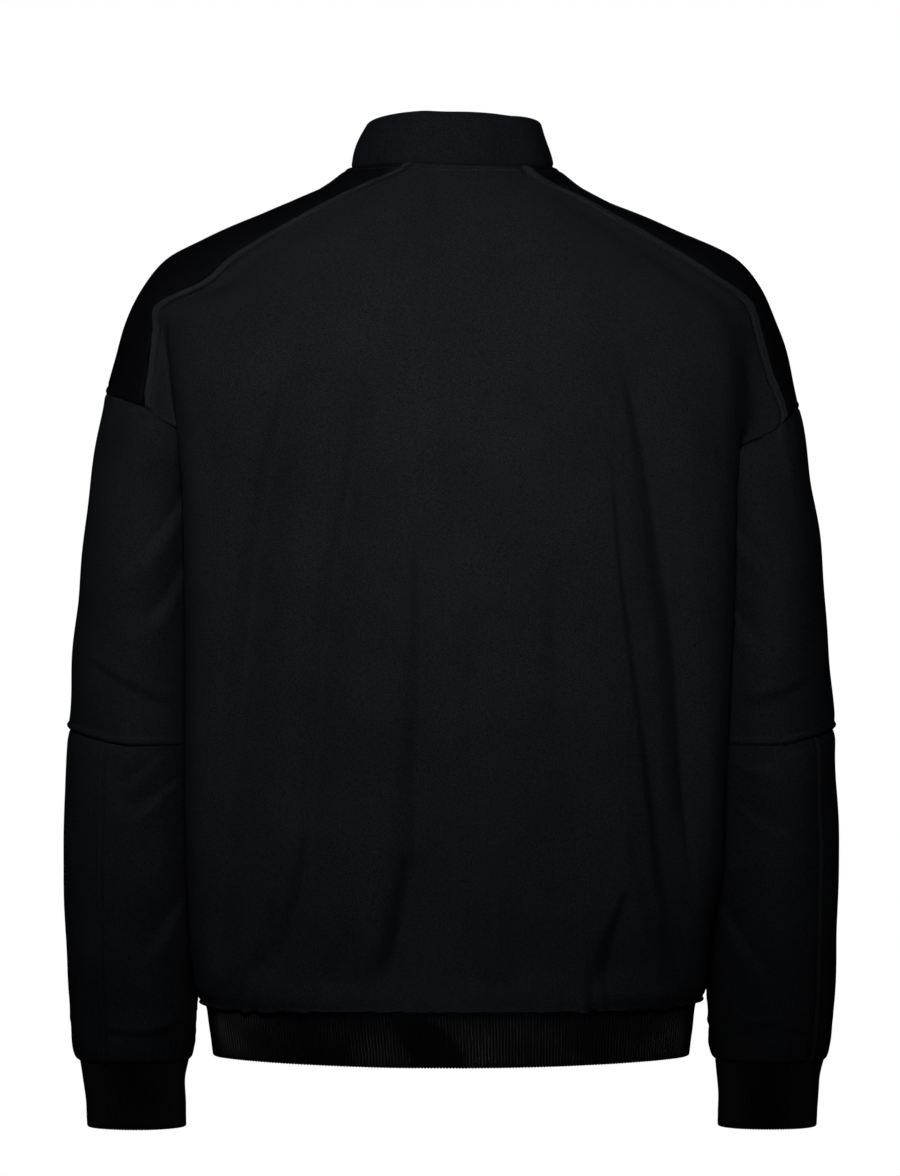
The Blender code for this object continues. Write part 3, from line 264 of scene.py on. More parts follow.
# On a sleeve the points are degrees round it, 0 on the outside and 90 at the back, and z.
SLEEVE_CREASES = {
    "left": (
        (0.0090, 0.0030, 0.0014, ((150, -0.225), (128, -0.262), (96, -0.300), (64, -0.325))),
        (0.0080, 0.0026, 0.0012, ((168, -0.262), (140, -0.305), (110, -0.345), (84, -0.372))),
        (0.0075, 0.0024, 0.0010, ((205, -0.250), (232, -0.285), (262, -0.315), (290, -0.330))),
        (0.0080, 0.0022, 0.0010, ((190, -0.300), (226, -0.338), (258, -0.362))),
        (0.0070, 0.0024, 0.0012, ((40, -0.385), (72, -0.402), (108, -0.420), (136, -0.430))),
        (0.0060, 0.0018, 0.0008, ((118, -0.458), (98, -0.472), (76, -0.488))),
        (0.0065, 0.0020, 0.0010, ((136, -0.476), (112, -0.490), (84, -0.510))),
        (0.0075, 0.0026, 0.0012, ((215, -0.420), (246, -0.438), (278, -0.432), (304, -0.418))),
        (0.0070, 0.0026, 0.0012, ((205, -0.480), (240, -0.470), (276, -0.476), (310, -0.492))),
        (0.0065, 0.0020, 0.0009, ((228, -0.512), (256, -0.520), (290, -0.512))),
        (0.0045, 0.0014, 0.0008, ((49, -0.606), (30, -0.640), (14, -0.674))),
        (0.0080, 0.0022, 0.0010, ((150, -0.560), (122, -0.590), (96, -0.622))),
        (0.0070, 0.0020, 0.0010, ((230, -0.590), (258, -0.616), (292, -0.632))),
        (0.0060, 0.0022, 0.0012, ((60, -0.676), (100, -0.682), (148, -0.676))),
        (0.0060, 0.0020, 0.0010, ((176, -0.664), (220, -0.676), (262, -0.680))),
        (0.0055, 0.0018, 0.0010, ((296, -0.674), (330, -0.682), (372, -0.676))),
    ),
    "right": (
        (0.0090, 0.0030, 0.0014, ((152, -0.238), (126, -0.272), (92, -0.306), (60, -0.322))),
        (0.0080, 0.0024, 0.0012, ((166, -0.286), (136, -0.330), (104, -0.366), (80, -0.384))),
        (0.0075, 0.0024, 0.0010, ((206, -0.262), (236, -0.292), (268, -0.312))),
        (0.0080, 0.0022, 0.0010, ((192, -0.320), (222, -0.352), (252, -0.370))),
        (0.0070, 0.0020, 0.0010, ((46, -0.400), (80, -0.416), (116, -0.428))),
        (0.0060, 0.0024, 0.0012, ((132, -0.462), (112, -0.4655), (84, -0.467))),
        (0.0065, 0.0018, 0.0009, ((124, -0.496), (98, -0.512), (70, -0.520))),
        (0.0075, 0.0026, 0.0012, ((212, -0.412), (244, -0.430), (284, -0.436))),
        (0.0070, 0.0026, 0.0012, ((208, -0.474), (244, -0.466), (284, -0.480), (312, -0.498))),
        (0.0065, 0.0020, 0.0009, ((226, -0.520), (262, -0.526), (296, -0.514))),
        (0.0080, 0.0022, 0.0010, ((146, -0.572), (116, -0.606), (88, -0.640))),
        (0.0070, 0.0020, 0.0010, ((226, -0.604), (262, -0.622), (300, -0.626))),
        (0.0060, 0.0020, 0.0010, ((52, -0.682), (92, -0.676), (136, -0.684))),
        (0.0060, 0.0022, 0.0012, ((170, -0.672), (214, -0.682), (256, -0.674))),
        (0.0055, 0.0018, 0.0010, ((288, -0.682), (324, -0.674), (366, -0.680))),
    ),
}
# Soft flutes across the fronts' lower part, which grow downwards and fade at the hem seam
FLUTES_FROM_Z = -0.33
FLUTES_GROW = 0.22
FLUTES_END = 0.05
FLUTES_LEAST = 0.12
# Height, length, lean and start of each wave
FLUTES = ((0.0016, 0.083, 0.05, 0.4), (0.0011, 0.052, -0.03, 2.1))
# Soft hollows in the ribbing: x, half width and depth
HEM_HOLLOWS = (
    (0.0684, 0.012, 0.0009),
    (-0.0228, 0.015, 0.0010),
    (-0.1049, 0.012, 0.0008),
    (-0.143, 0.012, 0.0008),
)
HEM_LEAN = 0.0020
CUFF_LEAN = 0.0010
RIB_ROUND = 0.6
RIB_CROWDED = 0.25
RIB_CROWD_SIZE = 0.05
RIB_CROWD_SEED = 51
RIB_WAVE = 0.0007
RIB_WAVE_SIZE = 0.045
RIB_WAVE_SEED = 52
RIB_WAVE_SPAN = 1.15
RIB_INSIDE = 0.0004
HOLLOW_START = 0.15
HOLLOW_SPAN = 0.8
# Where the fine rings of the ribbing begin and end: parts of the hem rib's height, metres on the cuffs
HEM_FROM = 0.005
HEM_TO = 0.973
CUFF_FROM = 0.0002
CUFF_ROUND = 0.0012

# Collar
COLLAR_END_LEAST = 0.15
COLLAR_END_DEEP = 0.0005
COLLAR_END_WIDE = 0.0012
COLLAR_STITCH_FROM = 0.04
COLLAR_STITCH_TO = 0.97

# Zip tape: its woven ribs, the beads beside the teeth and the cut between the tapes
WEAVE_HIGH = 0.00008
WEAVE_PITCH = 0.0012
BEAD_HIGH = 0.0005
BEAD_AT = 0.0012
BEAD_WIDE = 0.0007
TAPE_CUT_DEEP = 0.0003
TAPE_CUT_WIDE = 0.0003
TAPE_COLUMNS = 57

# Gathers along the seams: pitch, height, how far they reach from the seam, and the seed of their unevenness
GATHERS = {
    "hem": (0.021, 0.0020, 0.014, 5),
    "body_top": (0.012, 0.0005, 0.008, 6),
    "zip": (0.016, 0.0005, 0.012, 21),
    "band": (0.015, 0.0004, 0.006, 13),
    "armhole": (0.014, 0.0006, 0.010, 31),
    "above_elbow": (0.018, 0.0005, 0.012, 32),
    "below_elbow": (0.018, 0.0004, 0.010, 34),
    "long_seam": (0.017, 0.0004, 0.008, 35),
    "cuff": (0.011, 0.0009, 0.013, 33),
    "collar": (0.013, 0.0006, 0.008, 41),
}
# Lengths of the waves in a gather, their mean strength and how it swings, and how near the seam they begin
GATHER_WAVES = (1.0, 0.71, 1.43, 0.53)
GATHER_MEAN = 0.55
GATHER_SWING = 0.45
GATHER_SWING_PITCHES = 6.1
GATHER_START = 0.002
ABOUT_A_TURN = 6.3
# Range of the waves' sizes in soft noise
WAVE_SIZES = (0.7, 1.5)
# Slow unevenness of the cloth: height, size of the waves and seed
SWELLS = {
    "body": (0.0007, 0.085, 3),
    "shoulder": (0.0006, 0.06, 8),
    "sleeve": (0.0008, 0.07, 11),
    "collar": (0.0009, 0.05, 17),
}

# Zip teeth
TOOTH_PITCH = 0.0027
TOOTH_WIDE = 0.0034
TOOTH_LONG = 0.0011
TOOTH_HIGH = 0.0022
TOOTH_OUT = 0.0006
TOOTH_ROUND = 0.0003
TOOTH_NECK = 0.35
TEETH_BELOW_SLIDER = 0.0005
# Columns round a sleeve, from the underarm up the back, over the shoulder and down the front
RING_COLUMNS = 20

# How far the inside of a panel reaches under the seam beside it
UNDER_SEAM = 0.0014

# Cloth
CLOTH = 0.0016
RIB_KNIT = 0.0022
COLLAR_CLOTH = 0.0028

# Ribbing
RIB_PITCH = 0.0025
HEM_RIB_HEIGHT = 0.044
HEM_DRAW_IN = 0.0054
HEM_FOOT_RISE = 0.0040
HEM_HALF = 0.185
RIB_TUCK = 0.0012
RIB_TUCK_AT_SEAM = 0.0004
RIB_TUCK_GROWS = 0.1

# Shoulder panel's raised seam band
BAND_WIDTH = 0.0078
BAND_EDGE = 0.0009

# Collar: how far it leans in and how high it stands at the back, sides and front
COLLAR_LEAN_LEFT = 0.848
COLLAR_LEAN_RIGHT = 0.885
COLLAR_LEAN_Y = 0.89
COLLAR_MIDDLE_Y = -0.010
COLLAR_HIGH_BACK = 0.0400
COLLAR_HIGH_SIDE = 0.0326
COLLAR_HIGH_FRONT = 0.0460
COLLAR_BULGE = 0.0016
COLLAR_PARTS = (0.0, 0.35, 0.7, 1.0)

# Zip: the tape lies behind the walls, the chain in the gap between them
ZIP_GAP = 0.0034
TAPE_BELOW_TOP = 0.0020
TAPE_HALF = 0.0105
TAPE_THICK = 0.0008
TAPE_CLEAR = 0.0006
COLLAR_ROUND = 0.0017

# Row numbers in the body tables: hem seam, underarm, end of the shoulder panel, upper chest, neck seam
HEM_ROW = 0
UNDERARM_ROW = 6
SHOULDER_ROW = 9
CHEST_ROW = 14
NECK_ROW = 19
BODY_ROWS = (
    *(0, 1, 2, 2.5, 3, 3.5, 4, 4.5, 5, 5.5, 6, 6.5, 7),
    *(7.5, 8, 8.5, 9, 10, 11, 12, 13, 14, 15, 16, 17.5, 19),
)
# Columns of a panel, as places along its section: 0 to 6 is the broad part, 6 the crest beside the
# arm, 7 the turn behind the crest, 8 the seam.
SEAM_COLUMN = 8
BROAD_STEPS = 6
# Folds end over this many columns, half a column behind the crest
FOLD_END = 1.5
FOLD_PAST_CREST = 0.5
# How blunt the two ends of a fold are
FOLD_BLUNT = 0.7
# Points inside the garment, behind its panels
BODY_INSIDE = (0.0, 0.0, -0.35)
SHOULDER_INSIDE = (0.15, 0.0, -0.20)
SLEEVE_INSIDE = (0.246, -0.012)

SIDES = {"left": 1, "right": -1}


def table(columns, *rows):
    """A table as a dictionary of its columns."""
    return dict(zip(columns.split(), np.array(rows, float).T))


# The back, left side. mid is the middle of the back, crest the fold beside the arm, edge the seam.
BACK_LEFT = table(
    "mid_z   mid_y   sweep crest_x crest_y turn_x  turn_y  edge_x  edge_y   edge_z",
    (-0.653, 0.1080, 90, 0.1915, 0.0320, 0.1905, 0.0110, 0.1875, -0.0100, -0.6530),
    (-0.638, 0.1140, 90, 0.1975, 0.0450, 0.1950, 0.0180, 0.1890, -0.0100, -0.6380),
    (-0.600, 0.1170, 90, 0.2010, 0.0520, 0.1965, 0.0220, 0.1875, -0.0100, -0.6000),
    (-0.540, 0.1180, 90, 0.2040, 0.0560, 0.1980, 0.0250, 0.1860, -0.0080, -0.5400),
    (-0.450, 0.1190, 90, 0.2040, 0.0600, 0.1970, 0.0280, 0.1845, -0.0060, -0.4500),
    (-0.350, 0.1210, 90, 0.2050, 0.0620, 0.1970, 0.0300, 0.1840, -0.0050, -0.3500),
    (-0.265, 0.1220, 90, 0.2065, 0.0640, 0.1980, 0.0330, 0.1870, -0.0050, -0.2650),
    (-0.236, 0.1220, 90, 0.2085, 0.0630, 0.2045, 0.0450, 0.1975, 0.0260, -0.2400),
    (-0.211, 0.1210, 90, 0.2105, 0.0640, 0.2085, 0.0550, 0.2085, 0.0490, -0.2130),
    (-0.188, 0.1190, 90, 0.2125, 0.0640, 0.2145, 0.0510, 0.2300, 0.0565, -0.1950),
    (-0.162, 0.1165, 88, 0.2155, 0.0610, 0.2190, 0.0500, 0.2280, 0.0520, -0.1620),
    (-0.134, 0.1120, 84, 0.2175, 0.0570, 0.2220, 0.0490, 0.2255, 0.0470, -0.1340),
    (-0.110, 0.1065, 78, 0.2110, 0.0565, 0.2180, 0.0510, 0.2235, 0.0460, -0.1156),
    (-0.093, 0.1010, 72, 0.1710, 0.0610, 0.1800, 0.0575, 0.1877, 0.0540, -0.0985),
    (-0.074, 0.0945, 68, 0.1450, 0.0615, 0.1540, 0.0585, 0.1623, 0.0555, -0.0769),
    (-0.0485, 0.0840, 64, 0.1010, 0.0620, 0.1085, 0.0590, 0.1154, 0.0560, -0.0492),
    (-0.0345, 0.0765, 60, 0.0760, 0.0605, 0.0820, 0.0580, 0.0877, 0.0555, -0.0338),
    (-0.0220, 0.0690, 57, 0.0520, 0.0585, 0.0565, 0.0570, 0.0608, 0.0555, -0.0208),
    (-0.0135, 0.0635, 54, 0.0340, 0.0570, 0.0375, 0.0560, 0.0407, 0.0550, -0.0123),
    (-0.0053, 0.0580, 50, 0.0240, 0.0560, 0.0266, 0.0553, 0.0292, 0.0545, -0.0040),
)

# The right side hangs a little wider, and its shoulder panel ends further out.
BACK_RIGHT = table(
    "crest_x crest_y turn_x  turn_y  edge_x  edge_y   edge_z",
    (0.1900, 0.0320, 0.1890, 0.0110, 0.1865, -0.0100, -0.6490),
    (0.1965, 0.0450, 0.1940, 0.0180, 0.1885, -0.0100, -0.6360),
    (0.1990, 0.0520, 0.1960, 0.0220, 0.1875, -0.0100, -0.6000),
    (0.2110, 0.0560, 0.2000, 0.0250, 0.1860, -0.0080, -0.5400),
    (0.2145, 0.0600, 0.1975, 0.0280, 0.1845, -0.0060, -0.4500),
    (0.2175, 0.0620, 0.1975, 0.0300, 0.1840, -0.0050, -0.3500),
    (0.2185, 0.0640, 0.1990, 0.0330, 0.1870, -0.0050, -0.2650),
    (0.2200, 0.0630, 0.2110, 0.0450, 0.1995, 0.0280, -0.2440),
    (0.2210, 0.0640, 0.2190, 0.0550, 0.2185, 0.0500, -0.2250),
    (0.2220, 0.0640, 0.2300, 0.0510, 0.2535, 0.0440, -0.2045),
    (0.2225, 0.0610, 0.2290, 0.0500, 0.2425, 0.0430, -0.1660),
    (0.2205, 0.0570, 0.2275, 0.0490, 0.2345, 0.0430, -0.1370),
    (0.2110, 0.0560, 0.2190, 0.0505, 0.2260, 0.0450, -0.1125),
    (0.1800, 0.0605, 0.1890, 0.0570, 0.1970, 0.0530, -0.0923),
    (0.1500, 0.0615, 0.1590, 0.0582, 0.1676, 0.0550, -0.0738),
    (0.1090, 0.0610, 0.1170, 0.0583, 0.1239, 0.0555, -0.0477),
    (0.0810, 0.0585, 0.0875, 0.0560, 0.0931, 0.0535, -0.0300),
    (0.0650, 0.0560, 0.0695, 0.0538, 0.0731, 0.0515, -0.0215),
    (0.0540, 0.0525, 0.0575, 0.0507, 0.0608, 0.0490, -0.0140),
    (0.0455, 0.0488, 0.0490, 0.0474, 0.0525, 0.0457, -0.0061),
)

# The front, the same on both sides. Up to the underarm its edge is the back's: the side seam.
FRONT = table(
    "mid_z   mid_y   sweep crest_x crest_y  turn_x  turn_y   edge_x  edge_y   edge_z",
    (-0.653, -0.1080, 90, 0.1905, -0.0420, 0.1895, -0.0260, 0.1875, -0.0100, -0.6530),
    (-0.638, -0.1140, 90, 0.1960, -0.0550, 0.1935, -0.0320, 0.1890, -0.0100, -0.6380),
    (-0.600, -0.1190, 90, 0.1985, -0.0620, 0.1945, -0.0350, 0.1875, -0.0100, -0.6000),
    (-0.540, -0.1240, 90, 0.2000, -0.0660, 0.1945, -0.0360, 0.1860, -0.0080, -0.5400),
    (-0.450, -0.1280, 90, 0.2010, -0.0690, 0.1945, -0.0370, 0.1850, -0.0060, -0.4500),
    (-0.352, -0.1310, 90, 0.2015, -0.0710, 0.1945, -0.0380, 0.1850, -0.0050, -0.3500),
    (-0.275, -0.1320, 90, 0.2020, -0.0715, 0.1960, -0.0400, 0.1870, -0.0050, -0.2650),
    (-0.252, -0.1320, 90, 0.2030, -0.0720, 0.2000, -0.0540, 0.1965, -0.0360, -0.2400),
    (-0.234, -0.1320, 90, 0.2045, -0.0730, 0.2045, -0.0650, 0.2070, -0.0585, -0.2160),
    (-0.218, -0.1310, 90, 0.2060, -0.0740, 0.2110, -0.0670, 0.2300, -0.0670, -0.1960),
    (-0.200, -0.1285, 88, 0.2080, -0.0730, 0.2150, -0.0670, 0.2280, -0.0650, -0.1650),
    (-0.183, -0.1250, 84, 0.2080, -0.0710, 0.2150, -0.0665, 0.2235, -0.0635, -0.1400),
    (-0.167, -0.1210, 78, 0.1940, -0.0730, 0.2030, -0.0700, 0.2110, -0.0665, -0.1210),
    (-0.150, -0.1160, 72, 0.1650, -0.0765, 0.1745, -0.0738, 0.1840, -0.0705, -0.1065),
    (-0.135, -0.1110, 68, 0.1390, -0.0785, 0.1480, -0.0760, 0.1570, -0.0730, -0.0950),
    (-0.117, -0.1035, 64, 0.1030, -0.0795, 0.1110, -0.0772, 0.1190, -0.0745, -0.0800),
    (-0.104, -0.0975, 60, 0.0810, -0.0790, 0.0875, -0.0766, 0.0940, -0.0740, -0.0710),
    (-0.092, -0.0905, 57, 0.0610, -0.0775, 0.0670, -0.0748, 0.0730, -0.0720, -0.0640),
    (-0.082, -0.0840, 54, 0.0480, -0.0740, 0.0530, -0.0715, 0.0580, -0.0690, -0.0600),
    (-0.072, -0.0770, 50, 0.0385, -0.0690, 0.0423, -0.0669, 0.0460, -0.0647, -0.0560),
)

# The top of the shoulder, from the armhole to the neck: rows SHOULDER_ROW to NECK_ROW.
RIDGE = table(
    "row left_x  left_z  right_x  right_z  y",
    (9, 0.2705, -0.1800, 0.2710, -0.1910, -0.0050),
    (10, 0.2637, -0.1520, 0.2645, -0.1590, -0.0060),
    (11, 0.2550, -0.1250, 0.2556, -0.1290, -0.0070),
    (12, 0.2418, -0.0968, 0.2430, -0.0990, -0.0080),
    (13, 0.2208, -0.0723, 0.2225, -0.0745, -0.0080),
    (14, 0.1885, -0.0557, 0.1895, -0.0576, -0.0080),
    (15, 0.1430, -0.0373, 0.1440, -0.0406, -0.0060),
    (16, 0.1170, -0.0267, 0.1175, -0.0292, -0.0040),
    (17, 0.0980, -0.0162, 0.0985, -0.0178, -0.0020),
    (18, 0.0870, -0.0086, 0.0875, -0.0092, 0.0),
    (19, 0.0788, -0.0040, 0.0790, -0.0040, 0.0),
)
RIDGE_SWEEP = 72

# Long soft troughs in the back, from top to bottom, x positive to the wearer's left
BACK_FOLDS = table(
    "top_x   top_z   foot_x   foot_z  bend     width  depth",
    (0.118, -0.130, 0.164, -0.480, 0.010, 0.022, 0.0075),
    (0.070, -0.190, 0.116, -0.540, 0.008, 0.022, 0.0050),
    (-0.126, -0.145, -0.182, -0.510, -0.003, 0.020, 0.0080),
    (-0.134, -0.330, -0.182, -0.640, 0.001, 0.016, 0.0055),
    (0.024, -0.400, 0.038, -0.640, 0.0, 0.024, 0.0040),
    (-0.062, -0.380, -0.078, -0.630, 0.0, 0.024, 0.0040),
)
FRONT_FOLDS = table(
    "top_x   top_z   foot_x   foot_z  bend     width  depth",
    (0.116, -0.190, 0.150, -0.510, 0.008, 0.022, 0.0060),
    (-0.110, -0.200, -0.150, -0.530, -0.006, 0.022, 0.0060),
    (0.062, -0.340, 0.076, -0.630, 0.0, 0.022, 0.0040),
    (-0.068, -0.370, -0.080, -0.635, 0.0, 0.022, 0.0040),
)

# Sleeve sections below the armhole. mid and half are the ellipse's middle and half sizes.
SLEEVE = table(
    "z       mid_x   mid_y    half_x  half_y",
    (-0.330, 0.2424, -0.0080, 0.0492, 0.0660),
    (-0.390, 0.2449, -0.0095, 0.0517, 0.0640),
    (-0.453, 0.2470, -0.0120, 0.0530, 0.0600),
    (-0.530, 0.2499, -0.0180, 0.0543, 0.0560),
    (-0.600, 0.2501, -0.0250, 0.0533, 0.0520),
    (-0.650, 0.2507, -0.0310, 0.0512, 0.0485),
    (-0.672, 0.2503, -0.0335, 0.0500, 0.0468),
    (-0.689, 0.2502, -0.0353, 0.0487, 0.0448),
    (-0.698, 0.2504, -0.0362, 0.0464, 0.0428),
    (-0.7025, 0.2505, -0.0366, 0.0442, 0.0410),
)
SLEEVE_RIGHT_SLIM = 0.985
SLEEVE_RIGHT_FORWARD = 0.003
SLEEVE_SIZES = ("mid_x", "mid_y", "half_x", "half_y")
ELBOW_Z = -0.453
ELBOW_RISE = 0.012
ELBOW_REACH = 0.110
# How a sleeve leaves the armhole: sideways on the outside, inside, back and front, for each unit down
SLEEVE_START_OUT = 0.23
SLEEVE_START_IN = 0.16
SLEEVE_START_ROUND = 0.12
SLEEVE_STEP = 0.02
ARMHOLE_MIDDLE = (0.2275, -0.0050)
ARMHOLE_HALF = (0.043, 0.062)
CUFF_TOP_Z = -0.7025
CUFF_SECTIONS = table(
    "down    mid_x   mid_y    half_x  half_y",
    (0.0000, 0.2500, -0.0370, 0.0428, 0.0394),
    (0.0120, 0.2498, -0.0374, 0.0406, 0.0374),
    (0.0525, 0.2482, -0.0384, 0.0390, 0.0355),
)
# Columns of the shoulder panel at the armhole, and where the lower sleeve's long seam runs
SHOULDER_COLUMNS = (0, 1, 2, 3, 4, 5, 6, 7, 8)
LONG_SEAM_DEGREES = {"left": 67.0, "right": 49.0}


def smooth(knots, values, at):
    """values on a smooth curve through the knots. values may have further axes."""
    knots = np.asarray(knots, float)
    values = np.asarray(values, float)
    at = np.asarray(at, float)
    slopes = np.gradient(values, knots, axis=0)
    low = np.clip(np.searchsorted(knots, at, side="right") - 1, 0, len(knots) - 2)
    span = knots[low + 1] - knots[low]
    part = (at - knots[low]) / span
    extra = (1,) * (values.ndim - 1)
    part = part.reshape(part.shape + extra)
    span = span.reshape(span.shape + extra)
    rest = 1 - part
    ends = values[low] * rest**2 * (1 + 2 * part) + values[low + 1] * part**2 * (1 + 2 * rest)
    return ends + slopes[low] * span * part * rest**2 - slopes[low + 1] * span * part**2 * rest


def fold_depth(folds, x, z):
    """How far the cloth is pressed in at x and z by a table of troughs."""
    depth = np.zeros_like(x)
    for top_x, top_z, foot_x, foot_z, bend, width, deepest in zip(*folds.values()):
        part = np.clip((z - top_z) / (foot_z - top_z), 0, 1)
        middle = top_x + (foot_x - top_x) * part + bend * np.sin(math.pi * part)
        along = np.sin(math.pi * part) ** FOLD_BLUNT
        depth += deepest * along * np.exp(-(((x - middle) / width) ** 2))
    return depth


def section_keys(row, side, face):
    """Key points of one body row, from the middle to its seam."""
    at = {name: float(smooth(np.arange(NECK_ROW + 1), face[name], row)) for name in face}
    if row <= UNDERARM_ROW:
        for name in ("edge_x", "edge_y", "edge_z"):
            below = face[name][: UNDERARM_ROW + 1]
            at[name] = float(smooth(np.arange(UNDERARM_ROW + 1), below, row))
    swept = math.radians(at["sweep"])
    keys = []
    for step in range(BROAD_STEPS + 1):
        angle = swept * step / BROAD_STEPS
        across = math.sin(angle) / math.sin(swept)
        back = (math.cos(angle) - math.cos(swept)) / (1 - math.cos(swept))
        y = at["crest_y"] + (at["mid_y"] - at["crest_y"]) * back
        keys.append([at["crest_x"] * across, y, 0.0])
    keys.append([at["turn_x"], at["turn_y"], 0.0])
    keys.append([at["edge_x"], at["edge_y"], 0.0])
    keys = np.array(keys)
    share = np.arange(len(keys)) / (len(keys) - 1)
    keys[:, 2] = at["mid_z"] + (at["edge_z"] - at["mid_z"]) * share**2 * (3 - 2 * share)
    keys[:, 0] *= SIDES[side]
    return keys


def body_faces(side):
    """The back and front tables of one side."""
    back = dict(BACK_LEFT)
    if side == "right":
        back.update(BACK_RIGHT)
    front = dict(FRONT)
    for name in ("edge_x", "edge_y", "edge_z"):
        front[name] = np.where(np.arange(NECK_ROW + 1) <= UNDERARM_ROW, back[name], front[name])
    return back, front


def body_grid(side, part, rows, columns):
    """Points of half the back or of one front: one line of points for each row."""
    back, front = body_faces(side)
    face = back if part == "back" else front
    folds = BACK_FOLDS if part == "back" else FRONT_FOLDS
    outward = 1 if part == "back" else -1
    grid = []
    for row in rows:
        keys = section_keys(row, side, face)
        lengths = np.linalg.norm(np.diff(keys, axis=0), axis=1)
        places = np.concatenate([[0], np.cumsum(lengths)])
        at = np.interp(columns, np.arange(len(keys)), places)
        line = smooth(places, keys, at)
        fade = np.clip((BROAD_STEPS + FOLD_PAST_CREST - np.asarray(columns, float)) / FOLD_END, 0, 1)
        line[:, 1] -= outward * fade * fold_depth(folds, line[:, 0], line[:, 2])
        grid.append(line)
    return np.array(grid)


def edge_points(side, part, rows):
    """The outer edge of the back or front at the given rows."""
    return body_grid(side, part, rows, (SEAM_COLUMN,))[:, 0]


def shoulder_line(side, row, columns):
    """One line of the shoulder panel, from its back edge over the ridge to its front edge."""
    start = edge_points(side, "back", (row,))[0]
    end = edge_points(side, "front", (row,))[0]
    names = (side + "_x", "y", side + "_z")
    ridge = np.array([float(smooth(RIDGE["row"], RIDGE[name], row)) for name in names])
    ridge[0] *= SIDES[side]
    swept = math.radians(RIDGE_SWEEP)
    half = (len(SHOULDER_COLUMNS) - 1) / 2
    line = []
    for column in columns:
        edge = start if column <= half else end
        angle = swept * abs(column - half) / half
        away = math.sin(angle) / math.sin(swept)
        drop = (1 - math.cos(angle)) / (1 - math.cos(swept))
        point = ridge + (edge - ridge) * drop
        point[1] = ridge[1] + (edge[1] - ridge[1]) * away
        line.append(point)
    return np.array(line)


def ellipse_ring(angles, side, mid_x, mid_y, half_x, half_y, z):
    x = mid_x + half_x * np.cos(angles)
    return np.stack([SIDES[side] * x, mid_y + half_y * np.sin(angles), z + 0 * angles], axis=-1)


def sleeve_ring(side, angles, z):
    """A whole ring of the sleeve below the armhole's reach, tilted up on the outside at the elbow."""
    mid_x, mid_y, half_x, half_y = (float(smooth(-SLEEVE["z"], SLEEVE[n], -z)) for n in SLEEVE_SIZES)
    if side == "right":
        half_x *= SLEEVE_RIGHT_SLIM
        mid_y -= SLEEVE_RIGHT_FORWARD
    ring = ellipse_ring(angles, side, mid_x, mid_y, half_x, half_y, z)
    near = max(0.0, 1 - abs(z - ELBOW_Z) / ELBOW_REACH)
    ring[:, 2] += ELBOW_RISE * near * np.clip(np.cos(angles), 0, 1) ** 1.5
    return ring


def sleeve_top(side, start, angles, steps):
    """Rings from the armhole down to the first whole ring, each column on a smooth curve."""
    end = sleeve_ring(side, angles, SLEEVE["z"][0])
    below = sleeve_ring(side, angles, SLEEVE["z"][0] - SLEEVE_STEP)
    length = np.linalg.norm(end - start, axis=1)[:, None]
    outer = (1 + np.cos(angles)) / 2
    lean = SIDES[side] * (SLEEVE_START_OUT * outer + SLEEVE_START_IN * (1 - outer))
    leave = np.stack([lean, SLEEVE_START_ROUND * np.sin(angles), -np.ones_like(lean)], axis=-1)
    leave = leave / np.linalg.norm(leave, axis=1)[:, None] * length
    arrive = (below - end) / np.linalg.norm(below - end, axis=1)[:, None] * length
    rings = [start]
    for t in steps:
        rest = 1 - t
        ends = start * rest**2 * (1 + 2 * t) + end * t**2 * (1 + 2 * rest)
        rings.append(ends + leave * t * rest**2 - arrive * t**2 * rest)
    return np.array(rings)


def grid_normals(grid, closed):
    """Outward normals of a grid of points, up to their sign."""
    down = np.gradient(grid, axis=0)
    if closed:
        around = (np.roll(grid, -1, axis=1) - np.roll(grid, 1, axis=1)) / 2
    else:
        around = np.gradient(grid, axis=1)
    normals = np.cross(around, down)
    return normals / np.linalg.norm(normals, axis=2, keepdims=True)


def face_out(grid, normals, inside):
    """Turns the normals so that they point away from a point inside the garment piece."""
    away = ((grid - inside) * normals).sum()
    return normals if away > 0 else -normals


def collar_point_rows(base, parts):
    """The collar's outer points from its seam to its top, on the neck seam's points."""
    rows = []
    lean_x = np.where(base[:, 0] > 0, COLLAR_LEAN_LEFT, COLLAR_LEAN_RIGHT)
    for part in parts:
        leaned = base.copy()
        leaned[:, 0] *= 1 + (lean_x - 1) * part
        leaned[:, 1] = COLLAR_MIDDLE_Y + (base[:, 1] - COLLAR_MIDDLE_Y) * (1 + (COLLAR_LEAN_Y - 1) * part)
        places = (base[:, 1].min(), 0.0, base[:, 1].max())
        high = np.interp(base[:, 1], places, (COLLAR_HIGH_FRONT, COLLAR_HIGH_SIDE, COLLAR_HIGH_BACK))
        out = base - [0, COLLAR_MIDDLE_Y, 0]
        out[:, 2] = 0
        out /= np.linalg.norm(out, axis=1, keepdims=True)
        leaned += out * COLLAR_BULGE * math.sin(math.pi * part)
        leaned[:, 2] += high * part
        leaned[[0, -1], 0] = base[[0, -1], 0]
        rows.append(leaned)
    return np.array(rows)


def level_normals(ring, closed):
    """Level outward directions of a ring seen from above."""
    if closed:
        along = np.roll(ring, -1, axis=0) - np.roll(ring, 1, axis=0)
    else:
        along = np.gradient(ring, axis=0)
    out = np.stack([along[:, 1], -along[:, 0], np.zeros(len(ring))], axis=-1)
    out /= np.linalg.norm(out, axis=1, keepdims=True)
    centre = ring.mean(axis=0)
    return out if ((ring - centre) * out).sum() > 0 else -out


